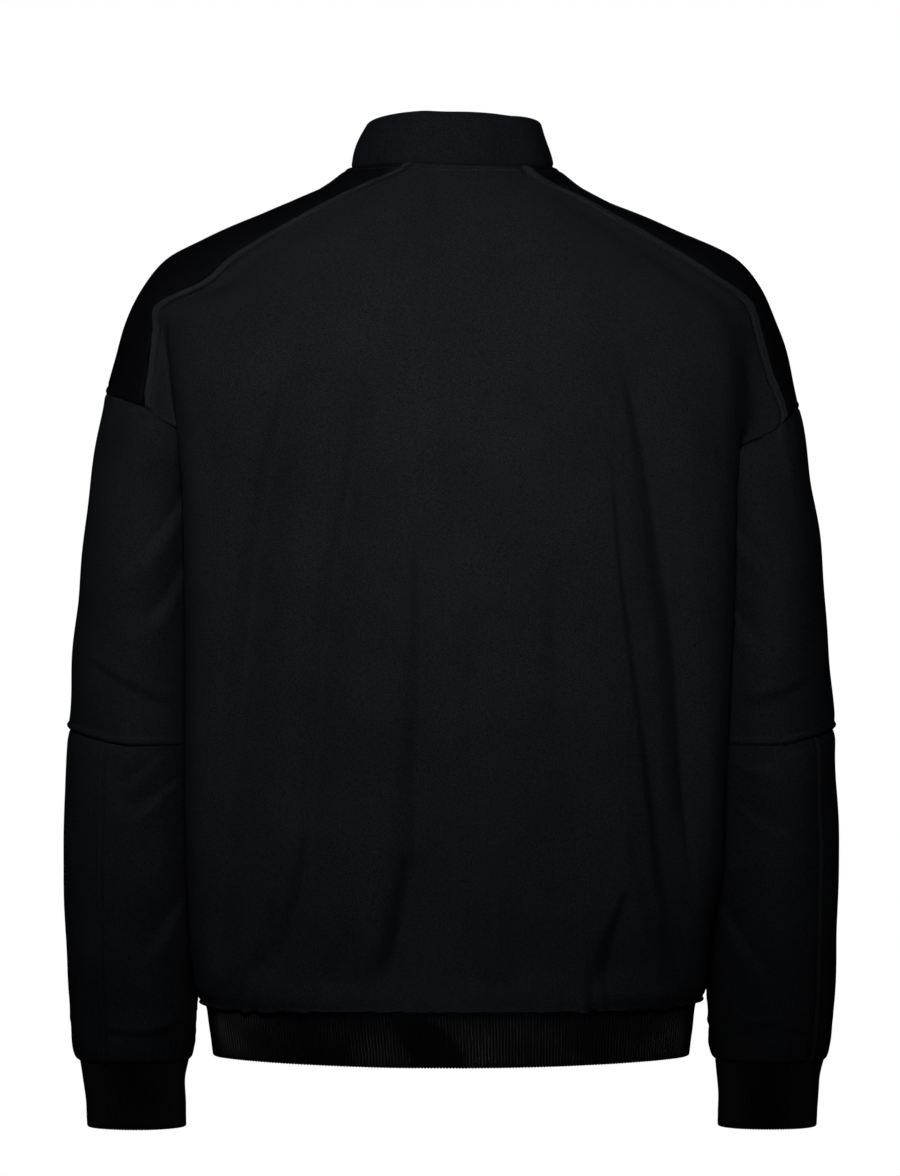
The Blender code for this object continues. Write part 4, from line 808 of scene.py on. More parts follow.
def bridge(first, second, closed):
    """Triangles between two lines of point numbers that run side by side."""
    faces = []
    i = j = 0
    count_i, count_j = len(first), len(second)
    if closed:
        first, second = first + first[:1], second + second[:1]
    else:
        count_i, count_j = count_i - 1, count_j - 1
    while i < count_i or j < count_j:
        if j == count_j or (i < count_i and (i + 1) / count_i <= (j + 1) / count_j):
            faces.append((first[i], first[i + 1], second[j]))
            i += 1
        else:
            faces.append((first[i], second[j + 1], second[j]))
            j += 1
    return faces


def places_along(line):
    """How far along a line of points each of them is."""
    return np.concatenate([[0], np.cumsum(np.linalg.norm(np.diff(line[:, :3], axis=0), axis=1))])


# ---- Fine surfaces ----


def picked(at, places_known, values):
    """The first three columns of values, read off at places between the known ones."""
    return np.stack([np.interp(at, places_known, values[:, i]) for i in range(3)], axis=-1)


def places(low, high, count, dense_low=True, dense_high=True):
    """count places from low to high, closer together near the ends that meet a seam."""
    middle = (np.arange(count - 1) + 0.5) / (count - 1)
    step = np.ones(count - 1)
    if dense_low:
        step -= DENSE * np.exp(-((middle / DENSE_REACH) ** 2))
    if dense_high:
        step -= DENSE * np.exp(-(((1 - middle) / DENSE_REACH) ** 2))
    return low + (high - low) * np.concatenate([[0], np.cumsum(step) / step.sum()])


class Panel:
    """A piece of cloth: a grid of points, with the row and column number of each of its lines."""

    def __init__(self, name, rows, columns, points, inside, closed=False):
        self.name = name
        self.rows = np.asarray(rows, float)
        self.columns = np.asarray(columns, float)
        self.points = np.asarray(points, float)
        self.closed = closed
        self.inside = np.array(inside)
        self.measure()

    def measure(self):
        self.normals = face_out(self.points, grid_normals(self.points, self.closed), self.inside)
        down = np.linalg.norm(np.diff(self.points, axis=0), axis=2)
        across = np.linalg.norm(np.diff(self.points, axis=1), axis=2)
        low = np.concatenate([np.zeros((1, len(self.columns))), np.cumsum(down, axis=0)])
        left = np.concatenate([np.zeros((len(self.rows), 1)), np.cumsum(across, axis=1)], axis=1)
        self.away = {"low": low, "high": low[-1:] - low, "start": left, "end": left[:, -1:] - left}

    def push(self, distance):
        """Moves each point out of the cloth by its own distance."""
        self.points = self.points + self.normals * distance[..., None]
        self.measure()

    def beside(self):
        """How far each point is from the nearer of the panel's start and end."""
        return np.minimum(self.away["start"], self.away["end"])

    def line(self, edge, inset, low=-math.inf, high=math.inf):
        """Points and normals along a line that runs inset from an edge."""
        away, points, normals, numbers = self.away[edge], self.points, self.normals, self.rows
        if edge in ("low", "high"):
            away, points, normals = away.T, points.swapaxes(0, 1), normals.swapaxes(0, 1)
            numbers = self.columns
        found = []
        order = slice(None) if edge in ("low", "start") else slice(None, None, -1)
        for number in np.flatnonzero((numbers >= low) & (numbers <= high)):
            place = np.interp(inset, away[number][order], np.arange(away.shape[1])[order])
            before = min(int(place), away.shape[1] - 2)
            part = place - before
            pair = [grid[number, before : before + 2] for grid in (points, normals)]
            found.append([first * (1 - part) + second * part for first, second in pair])
        return np.array(found).swapaxes(0, 1)


def seam_relief(panel, edges, stitched=()):
    """A thin valley at a sewn edge, the soft swell of the seam allowance and the topstitch's own valley."""
    relief = np.zeros(panel.points.shape[:2])
    for edge in edges:
        away = panel.away[edge]
        relief -= hump(away, 0, SEAM_VALLEY_WIDE, SEAM_VALLEY)
        if edge in stitched:
            relief += hump(away, SEAM_SWELL_AT, SEAM_SWELL_WIDE, SEAM_SWELL)
            relief -= hump(away, STITCH_INSET, STITCH_VALLEY_WIDE, STITCH_VALLEY)
    return relief


def grows(away, reach):
    """From 0 at an edge to 1 at that distance from it."""
    return np.clip(away / reach, 0, 1)


def hump(away, middle, wide, height):
    """A rounded ridge of that height and half width, at a distance from an edge."""
    return height * np.exp(-(((away - middle) / wide) ** 2))


def soft_noise(points, size, seed, count=9):
    """Smooth uneven waves in space, about size long, from about -1 to 1."""
    dice = np.random.default_rng(seed)
    total = np.zeros(points.shape[:-1])
    for _ in range(count):
        way = dice.normal(size=3)
        way *= 2 * math.pi / (size * dice.uniform(*WAVE_SIZES) * np.linalg.norm(way))
        total += np.sin(points @ way + dice.uniform(0, 2 * math.pi))
    return total / math.sqrt(count)


def swell(points, kind):
    """The cloth's slow unevenness."""
    height, size, seed = SWELLS[kind]
    return height * soft_noise(points, size, seed)


def trough(x, z, path, width, depth, lip=0.0):
    """A soft trough along a path, steep on its outer side, where a low ridge runs beside it."""
    path = np.array(path, float)
    knots = places_along(path)
    path = smooth(knots, path, np.linspace(0, knots[-1], PATH_STEPS))
    near = np.full(x.shape, np.inf)
    side = np.zeros(x.shape)
    along = np.zeros(x.shape)
    for number in range(len(path) - 1):
        start = path[number]
        step = path[number + 1] - start
        part = np.clip(((x - start[0]) * step[0] + (z - start[1]) * step[1]) / (step @ step), 0, 1)
        dx = x - start[0] - part * step[0]
        dz = z - start[1] - part * step[1]
        away = np.hypot(dx, dz)
        closer = away < near
        near = np.where(closer, away, near)
        along = np.where(closer, (number + part) / (len(path) - 1), along)
        side = np.where(closer, np.sign(step[0] * dz - step[1] * dx), side)
    rise = np.clip(along / RISE_PART, 0, 1)
    fall = np.clip((1 - along) / FALL_PART, 0, 1)
    grown = NARROW + WIDENS * along
    taper = grown * (rise * fall) ** 2 * (3 - 2 * rise) * (3 - 2 * fall)
    across = near * side / (width * grown)
    away = np.sqrt(across**2 + (BLUNT / width) ** 2) - BLUNT / width
    steep = np.clip(1 - away, 0, 1) ** STEEP_POWER
    slow = np.exp(-away / RISES_OVER) * np.clip(2 - away / RISE_FADES_AT, 0, 1)
    well = np.minimum(np.where(across > 0, steep, slow), 1)
    return taper * (hump(across, LIP_AT, LIP_WIDE, lip) - depth * well)


def creased(x, z, creases):
    """The relief of a table of creases."""
    relief = np.zeros(x.shape)
    for width, depth, lip, path in creases:
        relief += trough(x, z, path, width, depth, lip)
    return relief


def puckers(along, away, pitch, height, reach, seed):
    """Uneven little gathers that run out from a seam."""
    dice = np.random.default_rng(seed)
    wave = np.zeros(along.shape)
    for scale in GATHER_WAVES:
        wave += np.sin(2 * math.pi * along / (pitch * scale) + dice.uniform(0, ABOUT_A_TURN))
    swing = np.sin(2 * math.pi * along / (pitch * GATHER_SWING_PITCHES) + dice.uniform(0, ABOUT_A_TURN))
    strength = GATHER_MEAN + GATHER_SWING * swing
    begun = 1 - np.exp(-((away / GATHER_START) ** 2))
    return height * strength * wave / 2 * np.exp(-away / reach) * begun


# ---- Meshes ----


def grid_faces(rows, columns, first, closed):
    spans = columns if closed else columns - 1
    row, column = np.meshgrid(np.arange(rows - 1), np.arange(spans), indexing="ij")
    a = first + row * columns + column
    b = first + row * columns + (column + 1) % columns
    return np.stack([a, b, b + columns, a + columns], axis=-1).reshape(-1, 4).tolist()


def finish_mesh(name, points, faces, made, body="jacket", sharp=SHARP_DEGREES):
    mesh = bpy.data.meshes.new(name)
    mesh.from_pydata(np.asarray(points).tolist(), [], faces)
    shape = bmesh.new()
    shape.from_mesh(mesh)
    bmesh.ops.recalc_face_normals(shape, faces=shape.faces)
    shape.to_mesh(mesh)
    shape.free()
    mesh.shade_smooth()
    mesh.set_sharp_from_angle(angle=math.radians(sharp))
    mesh.materials.append(made)
    obj = bpy.data.objects.new(name, mesh)
    bpy.context.scene.collection.objects.link(obj)
    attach(obj, body)
    return obj


def every(stride, count):
    """Each stride-th number below count, and always the last one."""
    return np.unique(np.append(np.arange(0, count, stride), count - 1))


def shell(panel, thickness, stride, made):
    """A panel as a closed thin shell: its fine outside, and an inside with fewer points."""
    rows, columns = panel.points.shape[:2]
    pick_rows = every(stride, rows)
    pick_columns = np.arange(0, columns, stride) if panel.closed else every(stride, columns)
    inner = (panel.points - panel.normals * thickness)[np.ix_(pick_rows, pick_columns)]
    reach_under(inner)
    if not panel.closed:
        reach_under(inner.swapaxes(0, 1))
    first = rows * columns
    faces = grid_faces(rows, columns, 0, panel.closed)
    faces += grid_faces(len(pick_rows), len(pick_columns), first, panel.closed)
    outer_at = np.arange(first).reshape(rows, columns)
    inner_at = first + np.arange(inner.shape[0] * inner.shape[1]).reshape(inner.shape[:2])
    for edge in (0, -1):
        faces += bridge(outer_at[edge].tolist(), inner_at[edge].tolist(), panel.closed)
        if not panel.closed:
            faces += bridge(outer_at[:, edge].tolist(), inner_at[:, edge].tolist(), False)
    points = np.concatenate([panel.points.reshape(-1, 3), inner.reshape(-1, 3)])
    return finish_mesh(panel.name, points, faces, made)


def reach_under(lines):
    """Moves the first and the last line of points outwards, under the seams beside them."""
    for edge, inner in ((0, 1), (-1, -2)):
        away = lines[edge] - lines[inner]
        lines[edge] += away / np.linalg.norm(away, axis=1, keepdims=True) * UNDER_SEAM


def band_mesh(name, rings, closed, made):
    """A band whose section goes round through all its rings and back to the first."""
    rings = np.asarray(rings)
    count, columns = rings.shape[:2]
    faces = grid_faces(count, columns, 0, closed)
    start = (count - 1) * columns
    for a, b, c, d in grid_faces(2, columns, 0, closed):
        faces.append([start + a, start + b, c - columns, d - columns])
    if not closed:
        faces.append([row * columns for row in range(count)])
        faces.append([row * columns + columns - 1 for row in range(count)])
    return finish_mesh(name, rings.reshape(-1, 3), faces, made)


def spaced_line(points, normals, pitch):
    at = places_along(points)
    count = max(2, round(at[-1] / pitch))
    middle = (np.arange(count) + 0.5) * at[-1] / count
    ends = [picked(middle + half, at, points) for half in (-STITCH_HALF, STITCH_HALF)]
    out = picked(middle, at, normals)
    return ends[0], ends[1], out / np.linalg.norm(out, axis=1, keepdims=True)


class Stitches:
    """Rows of stitches, gathered into one piece."""

    def __init__(self):
        self.points = []
        self.faces = []

    def row(self, line):
        for start, end, out in zip(*spaced_line(*line, STITCH_PITCH)):
            self.stitch(start, end, out)

    def stitch(self, start, end, out):
        """One stitch: a short thread that dives into the cloth at both ends."""
        along = (end - start) / np.linalg.norm(end - start)
        side = np.cross(along, out)
        middle = (start + end) / 2 + out * STITCH_RISE
        half = np.linalg.norm(end - start) / 2
        first = len(self.points)
        near, far = first + 1, first + 1 + THREAD_SIDES
        self.points.append(middle - along * half - out * STITCH_SUNK)
        for place in (-STITCH_FULL_PART, STITCH_FULL_PART):
            for turn in range(THREAD_SIDES):
                angle = math.pi / THREAD_SIDES + turn * 2 * math.pi / THREAD_SIDES
                offset = side * math.cos(angle) * THREAD_WIDE + out * math.sin(angle) * THREAD_HIGH
                self.points.append(middle + along * half * place + offset)
        self.points.append(middle + along * half - out * STITCH_SUNK)
        for turn in range(THREAD_SIDES):
            after = (turn + 1) % THREAD_SIDES
            self.faces.append([first, near + turn, near + after])
            self.faces.append([near + turn, far + turn, far + after, near + after])
            self.faces.append([far + turn, far + THREAD_SIDES, far + after])


# ---- Materials ----


def link(tree, source, target):
    tree.links.new(source, target)


def new_node(tree, kind, **sockets):
    """A new node with values for its sockets, named in lower case with underscores."""
    made = tree.nodes.new("ShaderNode" + kind)
    for name, value in sockets.items():
        made.inputs[name.replace("_", " ").title()].default_value = value
    return made


def two_colours(tree, low, high, dark, light):
    """A ramp between two colours."""
    ramp = tree.nodes.new("ShaderNodeValToRGB")
    for stop, position, color in zip(ramp.color_ramp.elements, (low, high), (dark, light)):
        stop.position = position
        stop.color = (*color, 1.0)
    return ramp


def new_material(name):
    """A new material, with its nodes and its shader."""
    made = bpy.data.materials.new(name)
    made.use_nodes = True
    return made, made.node_tree, made.node_tree.nodes["Principled BSDF"]


def cloth_material(name, color, roughness, gloss, grain, bump, fine):
    """Fine black knit: a grain of tiny loops, with slow uneven patches of dye and nap."""
    made, tree, shader = new_material(name)
    shader.inputs["Specular IOR Level"].default_value = gloss
    where = tree.nodes.new("ShaderNodeTexCoord")
    loops = new_node(tree, "TexNoise", scale=fine, detail=2.0, roughness=0.65)
    link(tree, where.outputs["Object"], loops.inputs["Vector"])
    patches = new_node(tree, "TexNoise", scale=PATCHES_FINE, detail=3.0)
    link(tree, where.outputs["Object"], patches.inputs["Vector"])
    dark, light = ([c * (1 + sign * grain) for c in color] for sign in (-1, 1))
    ramp = two_colours(tree, *LOOPS_RAMP, dark, light)
    link(tree, loops.outputs["Fac"], ramp.inputs["Fac"])
    worn = tree.nodes.new("ShaderNodeMix")
    worn.data_type = "RGBA"
    worn.blend_type = "MULTIPLY"
    worn.inputs["Factor"].default_value = 1.0
    shade = new_node(tree, "MapRange", **NOISE_RANGE, **PATCHES_SHADE)
    link(tree, patches.outputs["Fac"], shade.inputs["Value"])
    link(tree, ramp.outputs["Color"], worn.inputs["A"])
    link(tree, shade.outputs["Result"], worn.inputs["B"])
    link(tree, worn.outputs["Result"], shader.inputs["Base Color"])
    limits = {"to_min": roughness - LOOPS_ROUGH, "to_max": roughness + LOOPS_ROUGH}
    rough = new_node(tree, "MapRange", **NOISE_RANGE, **limits)
    link(tree, loops.outputs["Fac"], rough.inputs["Value"])
    link(tree, rough.outputs["Result"], shader.inputs["Roughness"])
    wales = new_node(tree, "TexWave", scale=WALES_FINE, distortion=WALES_UNEVEN, detail=1.0)
    wales.wave_type = "BANDS"
    wales.bands_direction = "X"
    link(tree, where.outputs["Object"], wales.inputs["Vector"])
    height = tree.nodes.new("ShaderNodeMath")
    height.operation = "MULTIPLY_ADD"
    height.inputs[1].default_value = WALES_SHARE
    link(tree, wales.outputs["Fac"], height.inputs[0])
    link(tree, loops.outputs["Fac"], height.inputs[2])
    raised = new_node(tree, "Bump", strength=bump, distance=BUMP_DISTANCE)
    link(tree, height.outputs["Value"], raised.inputs["Height"])
    link(tree, raised.outputs["Normal"], shader.inputs["Normal"])
    return made


def metal_material(name, color, roughness):
    """Black satin metal, rubbed a little brighter in uneven spots."""
    made, tree, shader = new_material(name)
    shader.inputs["Metallic"].default_value = 1.0
    where = tree.nodes.new("ShaderNodeTexCoord")
    rubbed = new_node(tree, "TexNoise", scale=RUBBED_FINE, detail=4.0)
    link(tree, where.outputs["Object"], rubbed.inputs["Vector"])
    ramp = two_colours(tree, *RUBBED_RAMP, color, [c * RUBBED_BRIGHTER for c in color])
    link(tree, rubbed.outputs["Fac"], ramp.inputs["Fac"])
    link(tree, ramp.outputs["Color"], shader.inputs["Base Color"])
    smoother, rougher = RUBBED_ROUGH
    rough = new_node(tree, "MapRange", to_min=roughness + smoother, to_max=roughness + rougher)
    link(tree, rubbed.outputs["Fac"], rough.inputs["Value"])
    link(tree, rough.outputs["Result"], shader.inputs["Roughness"])
    return made


# ---- Body ----


def body_relief(panel, outward):
    """Folds of the back or of a front beyond the broad ones: sharper cores, flutes and gathers."""
    x, z = panel.points[..., 0], panel.points[..., 2]
    away_low, away_high = panel.away["low"], panel.away["high"]
    relief = creased(x, z, BACK_CREASES if outward > 0 else FRONT_CREASES)
    relief *= grows(away_low, CREASES_GROW)
    inner = grows(BROAD_HALF - np.abs(x), BROAD_FADE)
    if outward < 0:
        above_hem = z - FRONT["mid_z"][HEM_ROW]
        lower = grows(FLUTES_FROM_Z - z, FLUTES_GROW) * np.clip(above_hem / FLUTES_END, FLUTES_LEAST, 1)
        for size, length, lean, start in FLUTES:
            relief += inner * lower * size * np.sin(2 * math.pi * (x - lean * z) / length + start)
    fade = grows(away_high, SWELL_GROWS_AT_NECK) * grows(away_low, SWELL_GROWS_AT_HEM)
    relief += fade * inner * swell(panel.points, "body")
    relief += puckers(x, away_low, *GATHERS["hem"])
    relief += puckers(x, away_high, *GATHERS["body_top"])
    curled = 1 - np.exp(-((away_low / HEM_CURL) ** 2))
    share = HEM_PUFF_AT_SIDES + (1 - HEM_PUFF_AT_SIDES) * inner
    relief += HEM_PUFF * share * curled * np.exp(-((away_low / HEM_PUFF_REACH) ** 2))
    relief += hump(away_low, STITCH_INSET / 2, STITCH_INSET / 3, HEM_BAND_SWELL)
    wide, deep = HEM_STITCH_WIDER * STITCH_VALLEY_WIDE, HEM_STITCH_SHALLOWER * STITCH_VALLEY
    relief -= hump(away_low, STITCH_INSET, wide, deep)
    return relief


def body_rows(face, count):
    """Row numbers at about equal distances down the body, closer together at its seams."""
    middle = np.stack([face["mid_z"], face["mid_y"]], axis=1)
    numbers = np.linspace(HEM_ROW, NECK_ROW, ROW_SAMPLES)
    line = smooth(np.arange(NECK_ROW + 1), middle, numbers)
    at = places_along(line)
    return np.interp(places(0, at[-1], count), at, numbers)


def build_back(stitches):
    rows = body_rows(BACK_LEFT, BACK_LINES)
    columns = places(0, SEAM_COLUMN, HALF_BACK_LINES, dense_low=False)
    halves = [body_grid(side, "back", rows, columns) for side in ("left", "right")]
    points = np.concatenate([halves[0][:, ::-1], halves[1][:, 1:]], axis=1)
    panel = Panel("back_panel", rows, np.concatenate([-columns[::-1], columns[1:]]), points, BODY_INSIDE)
    panel.push(body_relief(panel, 1))
    panel.push(seam_relief(panel, ("low", "high", "start", "end"), ("low", "high")))
    for edge in ("start", "end"):
        stitches.row(panel.line(edge, STITCH_INSET, UNDERARM_ROW, SHOULDER_ROW))
    for edge in ("high", "low"):
        stitches.row(panel.line(edge, STITCH_INSET))
    return panel


def build_front(side, stitches):
    rows = body_rows(FRONT, FRONT_LINES)
    columns = places(0, SEAM_COLUMN, HALF_FRONT_LINES)
    points = body_grid(side, "front", rows, columns)
    points[..., 0] = SIDES[side] * beside_zip(np.abs(points[..., 0]))
    panel = Panel("front_panel_" + side, rows, columns, points, BODY_INSIDE)
    fade = grows(panel.away["start"], CREASES_GROW_AT_ZIP)
    panel.push(body_relief(panel, -1) * fade)
    start = panel.away["start"]
    zip_edge = -hump(start, 0, ZIP_EDGE_WIDE, ZIP_EDGE_DEEP)
    zip_edge -= hump(start, ZIP_STITCH, STITCH_VALLEY_WIDE, STITCH_VALLEY)
    zip_edge += puckers(panel.away["low"], start, *GATHERS["zip"])
    panel.push(seam_relief(panel, ("low", "high", "end"), ("low", "high")) + zip_edge)
    stitches.row(panel.line("start", ZIP_STITCH))
    stitches.row(panel.line("end", STITCH_INSET, UNDERARM_ROW, SHOULDER_ROW))
    for edge in ("high", "low"):
        stitches.row(panel.line(edge, STITCH_INSET))
    return panel


def beside_zip(away):
    """Distances from the centre front, moved out to leave the zip's gap."""
    return np.where(away < ZIP_REACH, ZIP_GAP + away * (1 - ZIP_GAP / ZIP_REACH), away)


def build_shoulder(side, stitches):
    """The shoulder panel, with the raised band along its back and front seams."""
    rows = places(SHOULDER_ROW, NECK_ROW, SHOULDER_LINES)
    columns = places(0, SHOULDER_COLUMNS[-1], SHOULDER_ACROSS)
    points = np.array([shoulder_line(side, row, columns) for row in rows])
    inside = np.array(SHOULDER_INSIDE) * (SIDES[side], 1, 1)
    panel = Panel("shoulder_panel_" + side, rows, columns, points, inside)
    x, y = panel.points[..., 0] * SIDES[side], panel.points[..., 1]
    relief = creased(x, y, SHOULDER_CREASES)
    fade = grows(panel.beside(), CREASES_GROW_AT_BAND)
    relief += fade * swell(panel.points, "shoulder")
    panel.push(relief * fade)
    band = np.zeros(x.shape)
    for edge in ("start", "end"):
        away = panel.away[edge]
        across = np.clip(away / BAND_WIDTH * 2 - 1, -1, 1)
        band += BAND_HIGH * np.sqrt(1 - across**2) ** BAND_ROUND
        band -= hump(away, 0, BAND_VALLEY_WIDE, BAND_SEAM_DEEP)
        band -= hump(away, BAND_WIDTH + BAND_EDGE / 2, BAND_VALLEY_WIDE, BAND_EDGE_DEEP)
        band -= hump(away, BAND_STITCH, BAND_VALLEY_WIDE, BAND_STITCH_DEEP)
        band += puckers(panel.away["low"], np.abs(away - BAND_WIDTH), *GATHERS["band"])
    panel.push(band + seam_relief(panel, ("low", "high"), ("low", "high")))
    for edge in ("start", "end"):
        stitches.row(panel.line(edge, BAND_STITCH))
    stitches.row(panel.line("high", STITCH_INSET))
    return panel


# ---- Sleeves ----


def armhole_at(side, columns):
    """Points of the armhole seam at any place round it, counted as in the ring's columns."""
    back_end = 2 * (SHOULDER_ROW - UNDERARM_ROW)
    front_start = back_end + SHOULDER_COLUMNS[-1]
    on_back, on_front = columns < back_end, columns > front_start
    on_top = ~on_back & ~on_front
    points = np.empty((len(columns), 3))
    points[on_top] = shoulder_line(side, SHOULDER_ROW, columns[on_top] - back_end)
    back_rows = UNDERARM_ROW + columns[on_back] / 2
    front_rows = SHOULDER_ROW - (columns[on_front] - front_start) / 2
    for part, found, rows in (("back", on_back, back_rows), ("front", on_front, front_rows)):
        if found.any():
            points[found] = edge_points(side, part, rows)
    return points


def sleeve_angles(side, columns):
    """Angle of each sleeve column: half a turn at the underarm, 90 degrees at the back, 0 on the outside."""
    ring = armhole_at(side, columns)
    outward = (SIDES[side] * ring[:, 0] - ARMHOLE_MIDDLE[0]) / ARMHOLE_HALF[0]
    backward = (ring[:, 1] - ARMHOLE_MIDDLE[1]) / ARMHOLE_HALF[1]
    angles = np.arctan2(backward, outward)
    angles = np.where((columns < RING_COLUMNS / 2) & (angles < -math.pi / 2), angles + 2 * math.pi, angles)
    angles = np.where((columns > RING_COLUMNS / 2) & (angles > math.pi / 2), angles - 2 * math.pi, angles)
    angles = np.where(columns == 0, math.pi, angles)
    return np.where(columns == RING_COLUMNS, -math.pi, angles)


def sleeve_relief(panel, side, angles):
    """Creases of a sleeve, in the plane of the distance round it and the height."""
    round_it = np.broadcast_to(angles * SLEEVE_RADIUS, panel.points.shape[:2])
    z = panel.points[..., 2]
    relief = np.zeros(z.shape)
    turn = 2 * math.pi * SLEEVE_RADIUS
    for width, depth, lip, path in SLEEVE_CREASES[side]:
        path = [(math.radians(angle) * SLEEVE_RADIUS, height) for angle, height in path]
        for shift in (-turn, 0, turn):
            relief += trough(round_it + shift, z, path, width, depth, lip)
    return relief


def sleeve_inside(side, points):
    """A point on the sleeve's axis, in the middle of a piece's height."""
    return SIDES[side] * SLEEVE_INSIDE[0], SLEEVE_INSIDE[1], points[..., 2].mean()


def build_upper_sleeve(side, stitches):
    columns = places(0, RING_COLUMNS, SLEEVE_AROUND, dense_low=False, dense_high=False)[:-1]
    angles = sleeve_angles(side, columns)
    steps = places(0, 1, SLEEVE_TOP_LINES, dense_high=False)
    top = sleeve_top(side, armhole_at(side, columns), angles, steps[1:])
    heights = places(SLEEVE["z"][0], ELBOW_Z, SLEEVE_MID_LINES, dense_low=False)[1:]
    rest = np.array([sleeve_ring(side, angles, z) for z in heights])
    points = np.concatenate([top, rest])
    rows, inside = np.arange(len(points)), sleeve_inside(side, points)
    panel = Panel("upper_sleeve_piece_" + side, rows, columns, points, inside, closed=True)
    fade = grows(panel.away["low"], CREASES_GROW) * grows(panel.away["high"], CREASES_GROW)
    relief = fade * (sleeve_relief(panel, side, angles) + swell(panel.points, "sleeve"))
    around = angles * SLEEVE_RADIUS
    relief += puckers(around, panel.away["low"], *GATHERS["armhole"])
    relief += puckers(around, panel.away["high"], *GATHERS["above_elbow"])
    panel.push(relief)
    roll = hump(panel.away["high"], ELBOW_ROLL_AT, ELBOW_ROLL_AT, ELBOW_ROLL)
    panel.push(seam_relief(panel, ("low", "high"), ("high",)) + roll)
    stitches.row(closed_line(panel.line("high", STITCH_INSET)))
    return panel


def build_lower_sleeve(side, part, stitches):
    """The inner or the outer panel below the elbow. They meet at the long seam and underneath."""
    outer = part == "outer"
    seam = math.radians(LONG_SEAM_DEGREES[side])
    low, high = (seam, -math.pi) if outer else (math.pi, seam)
    count = round(SLEEVE_AROUND * (low - high) / (2 * math.pi)) + LOWER_EXTRA_COLUMNS
    angles = places(low, high, count)
    heights = places(ELBOW_Z, CUFF_TOP_Z, LOWER_LINES)
    points = np.array([sleeve_ring(side, angles, z) for z in heights])
    columns, inside = np.arange(count), sleeve_inside(side, points)
    panel = Panel(f"lower_sleeve_{part}_piece_{side}", -heights, columns, points, inside)
    fade = grows(panel.away["low"], CREASES_GROW_AT_ELBOW) * grows(panel.away["high"], CREASES_GROW)
    relief = fade * (sleeve_relief(panel, side, angles) + swell(panel.points, "sleeve"))
    around = angles * SLEEVE_RADIUS
    relief += puckers(around, panel.away["high"], *GATHERS["cuff"])
    relief += puckers(around, panel.away["low"], *GATHERS["below_elbow"])
    relief += puckers(panel.away["low"], panel.beside(), *GATHERS["long_seam"])
    panel.push(relief)
    relief = seam_relief(panel, ("low", "high", "start", "end"), ("start",) if outer else ())
    relief -= hump(panel.away["low"], ELBOW_TUCK_AT, ELBOW_TUCK_WIDE, ELBOW_TUCK)
    if outer:
        relief += hump(panel.away["start"], LONG_SEAM_AT, LONG_SEAM_WIDE, LONG_SEAM_RISE)
    panel.push(relief)
    if outer:
        stitches.row(panel.line("start", STITCH_INSET))
    return panel


def closed_line(line):
    """The line with its first point repeated at its end."""
    return np.concatenate([line, line[:, :1]], axis=1)


# ---- Collar and ribs ----


def round_edge(outer, inner, steps):
    """Rings that turn from one edge ring to the other in a half circle, away from the band."""
    middle = (outer[-1] + inner[0]) / 2
    half = (outer[-1] - inner[0]) / 2
    way = outer[-1] - outer[-2]
    way = way / np.linalg.norm(way, axis=1, keepdims=True) * np.linalg.norm(half, axis=1, keepdims=True)
    angles = np.linspace(0, math.pi, steps + 2)[1:-1]
    return [middle + half * math.cos(angle) + way * math.sin(angle) for angle in angles]


def build_collar(made, stitches):
    base = neck_ring_fine()
    parts = places(0, 1, COLLAR_LINES, dense_high=False)
    outer = collar_point_rows(base, parts)
    inside = (0, COLLAR_MIDDLE_Y, outer[..., 2].mean())
    panel = Panel("collar_piece", parts, np.arange(len(base)), outer, inside)
    around = panel.away["start"]
    relief = np.sin(math.pi * np.clip(parts, 0, 1))[:, None] * swell(panel.points, "collar")
    relief += puckers(around, panel.away["low"], *GATHERS["collar"])
    ends = panel.beside()
    relief *= np.clip(ends / CREASES_GROW, COLLAR_END_LEAST, 1)
    panel.push(relief)
    panel.push(seam_relief(panel, ("low",)) - hump(ends, 0, COLLAR_END_WIDE, COLLAR_END_DEEP))
    normals = panel.normals.copy()
    normals[:, [0, -1]] = (0, -1, 0)
    inner = panel.points - normals * COLLAR_CLOTH
    under = inner[0] - (0, 0, UNDER_SEAM)
    rings = list(panel.points) + round_edge(panel.points, inner[::-1], COLLAR_EDGE_STEPS)
    rings += list(inner[every(INSIDE_STRIDE, len(parts))][::-1]) + [under]
    for edge in ("start", "end"):
        stitches.row(panel.line(edge, ZIP_STITCH, COLLAR_STITCH_FROM, COLLAR_STITCH_TO))
    return band_mesh("collar_piece", rings, False, made)


def neck_ring_fine():
    """The neck seam from the zip's left edge round the back to its right edge."""
    half = {}
    front_count, over_count, back_count = NECK_STEPS
    front_columns = places(0, SEAM_COLUMN, front_count, dense_high=False)
    columns = np.linspace(0, SEAM_COLUMN, back_count)
    for side in SIDES:
        front = body_grid(side, "front", (NECK_ROW,), front_columns)[0]
        front[:, 0] = SIDES[side] * beside_zip(np.abs(front[:, 0]))
        over = shoulder_line(side, NECK_ROW, np.linspace(SHOULDER_COLUMNS[-1], 0, over_count))
        back = body_grid(side, "back", (NECK_ROW,), columns[::-1])[0]
        half[side] = np.concatenate([front, over[1:], back[1:]])
    return np.concatenate([half["left"], half["right"][::-1][1:]])


def at_shares(ring, share, closed):
    """Points at those shares of a ring's length, and their level outward directions."""
    at = places_along(ring)
    points = picked(share * at[-1], at, ring)
    return points, level_normals(points, closed)


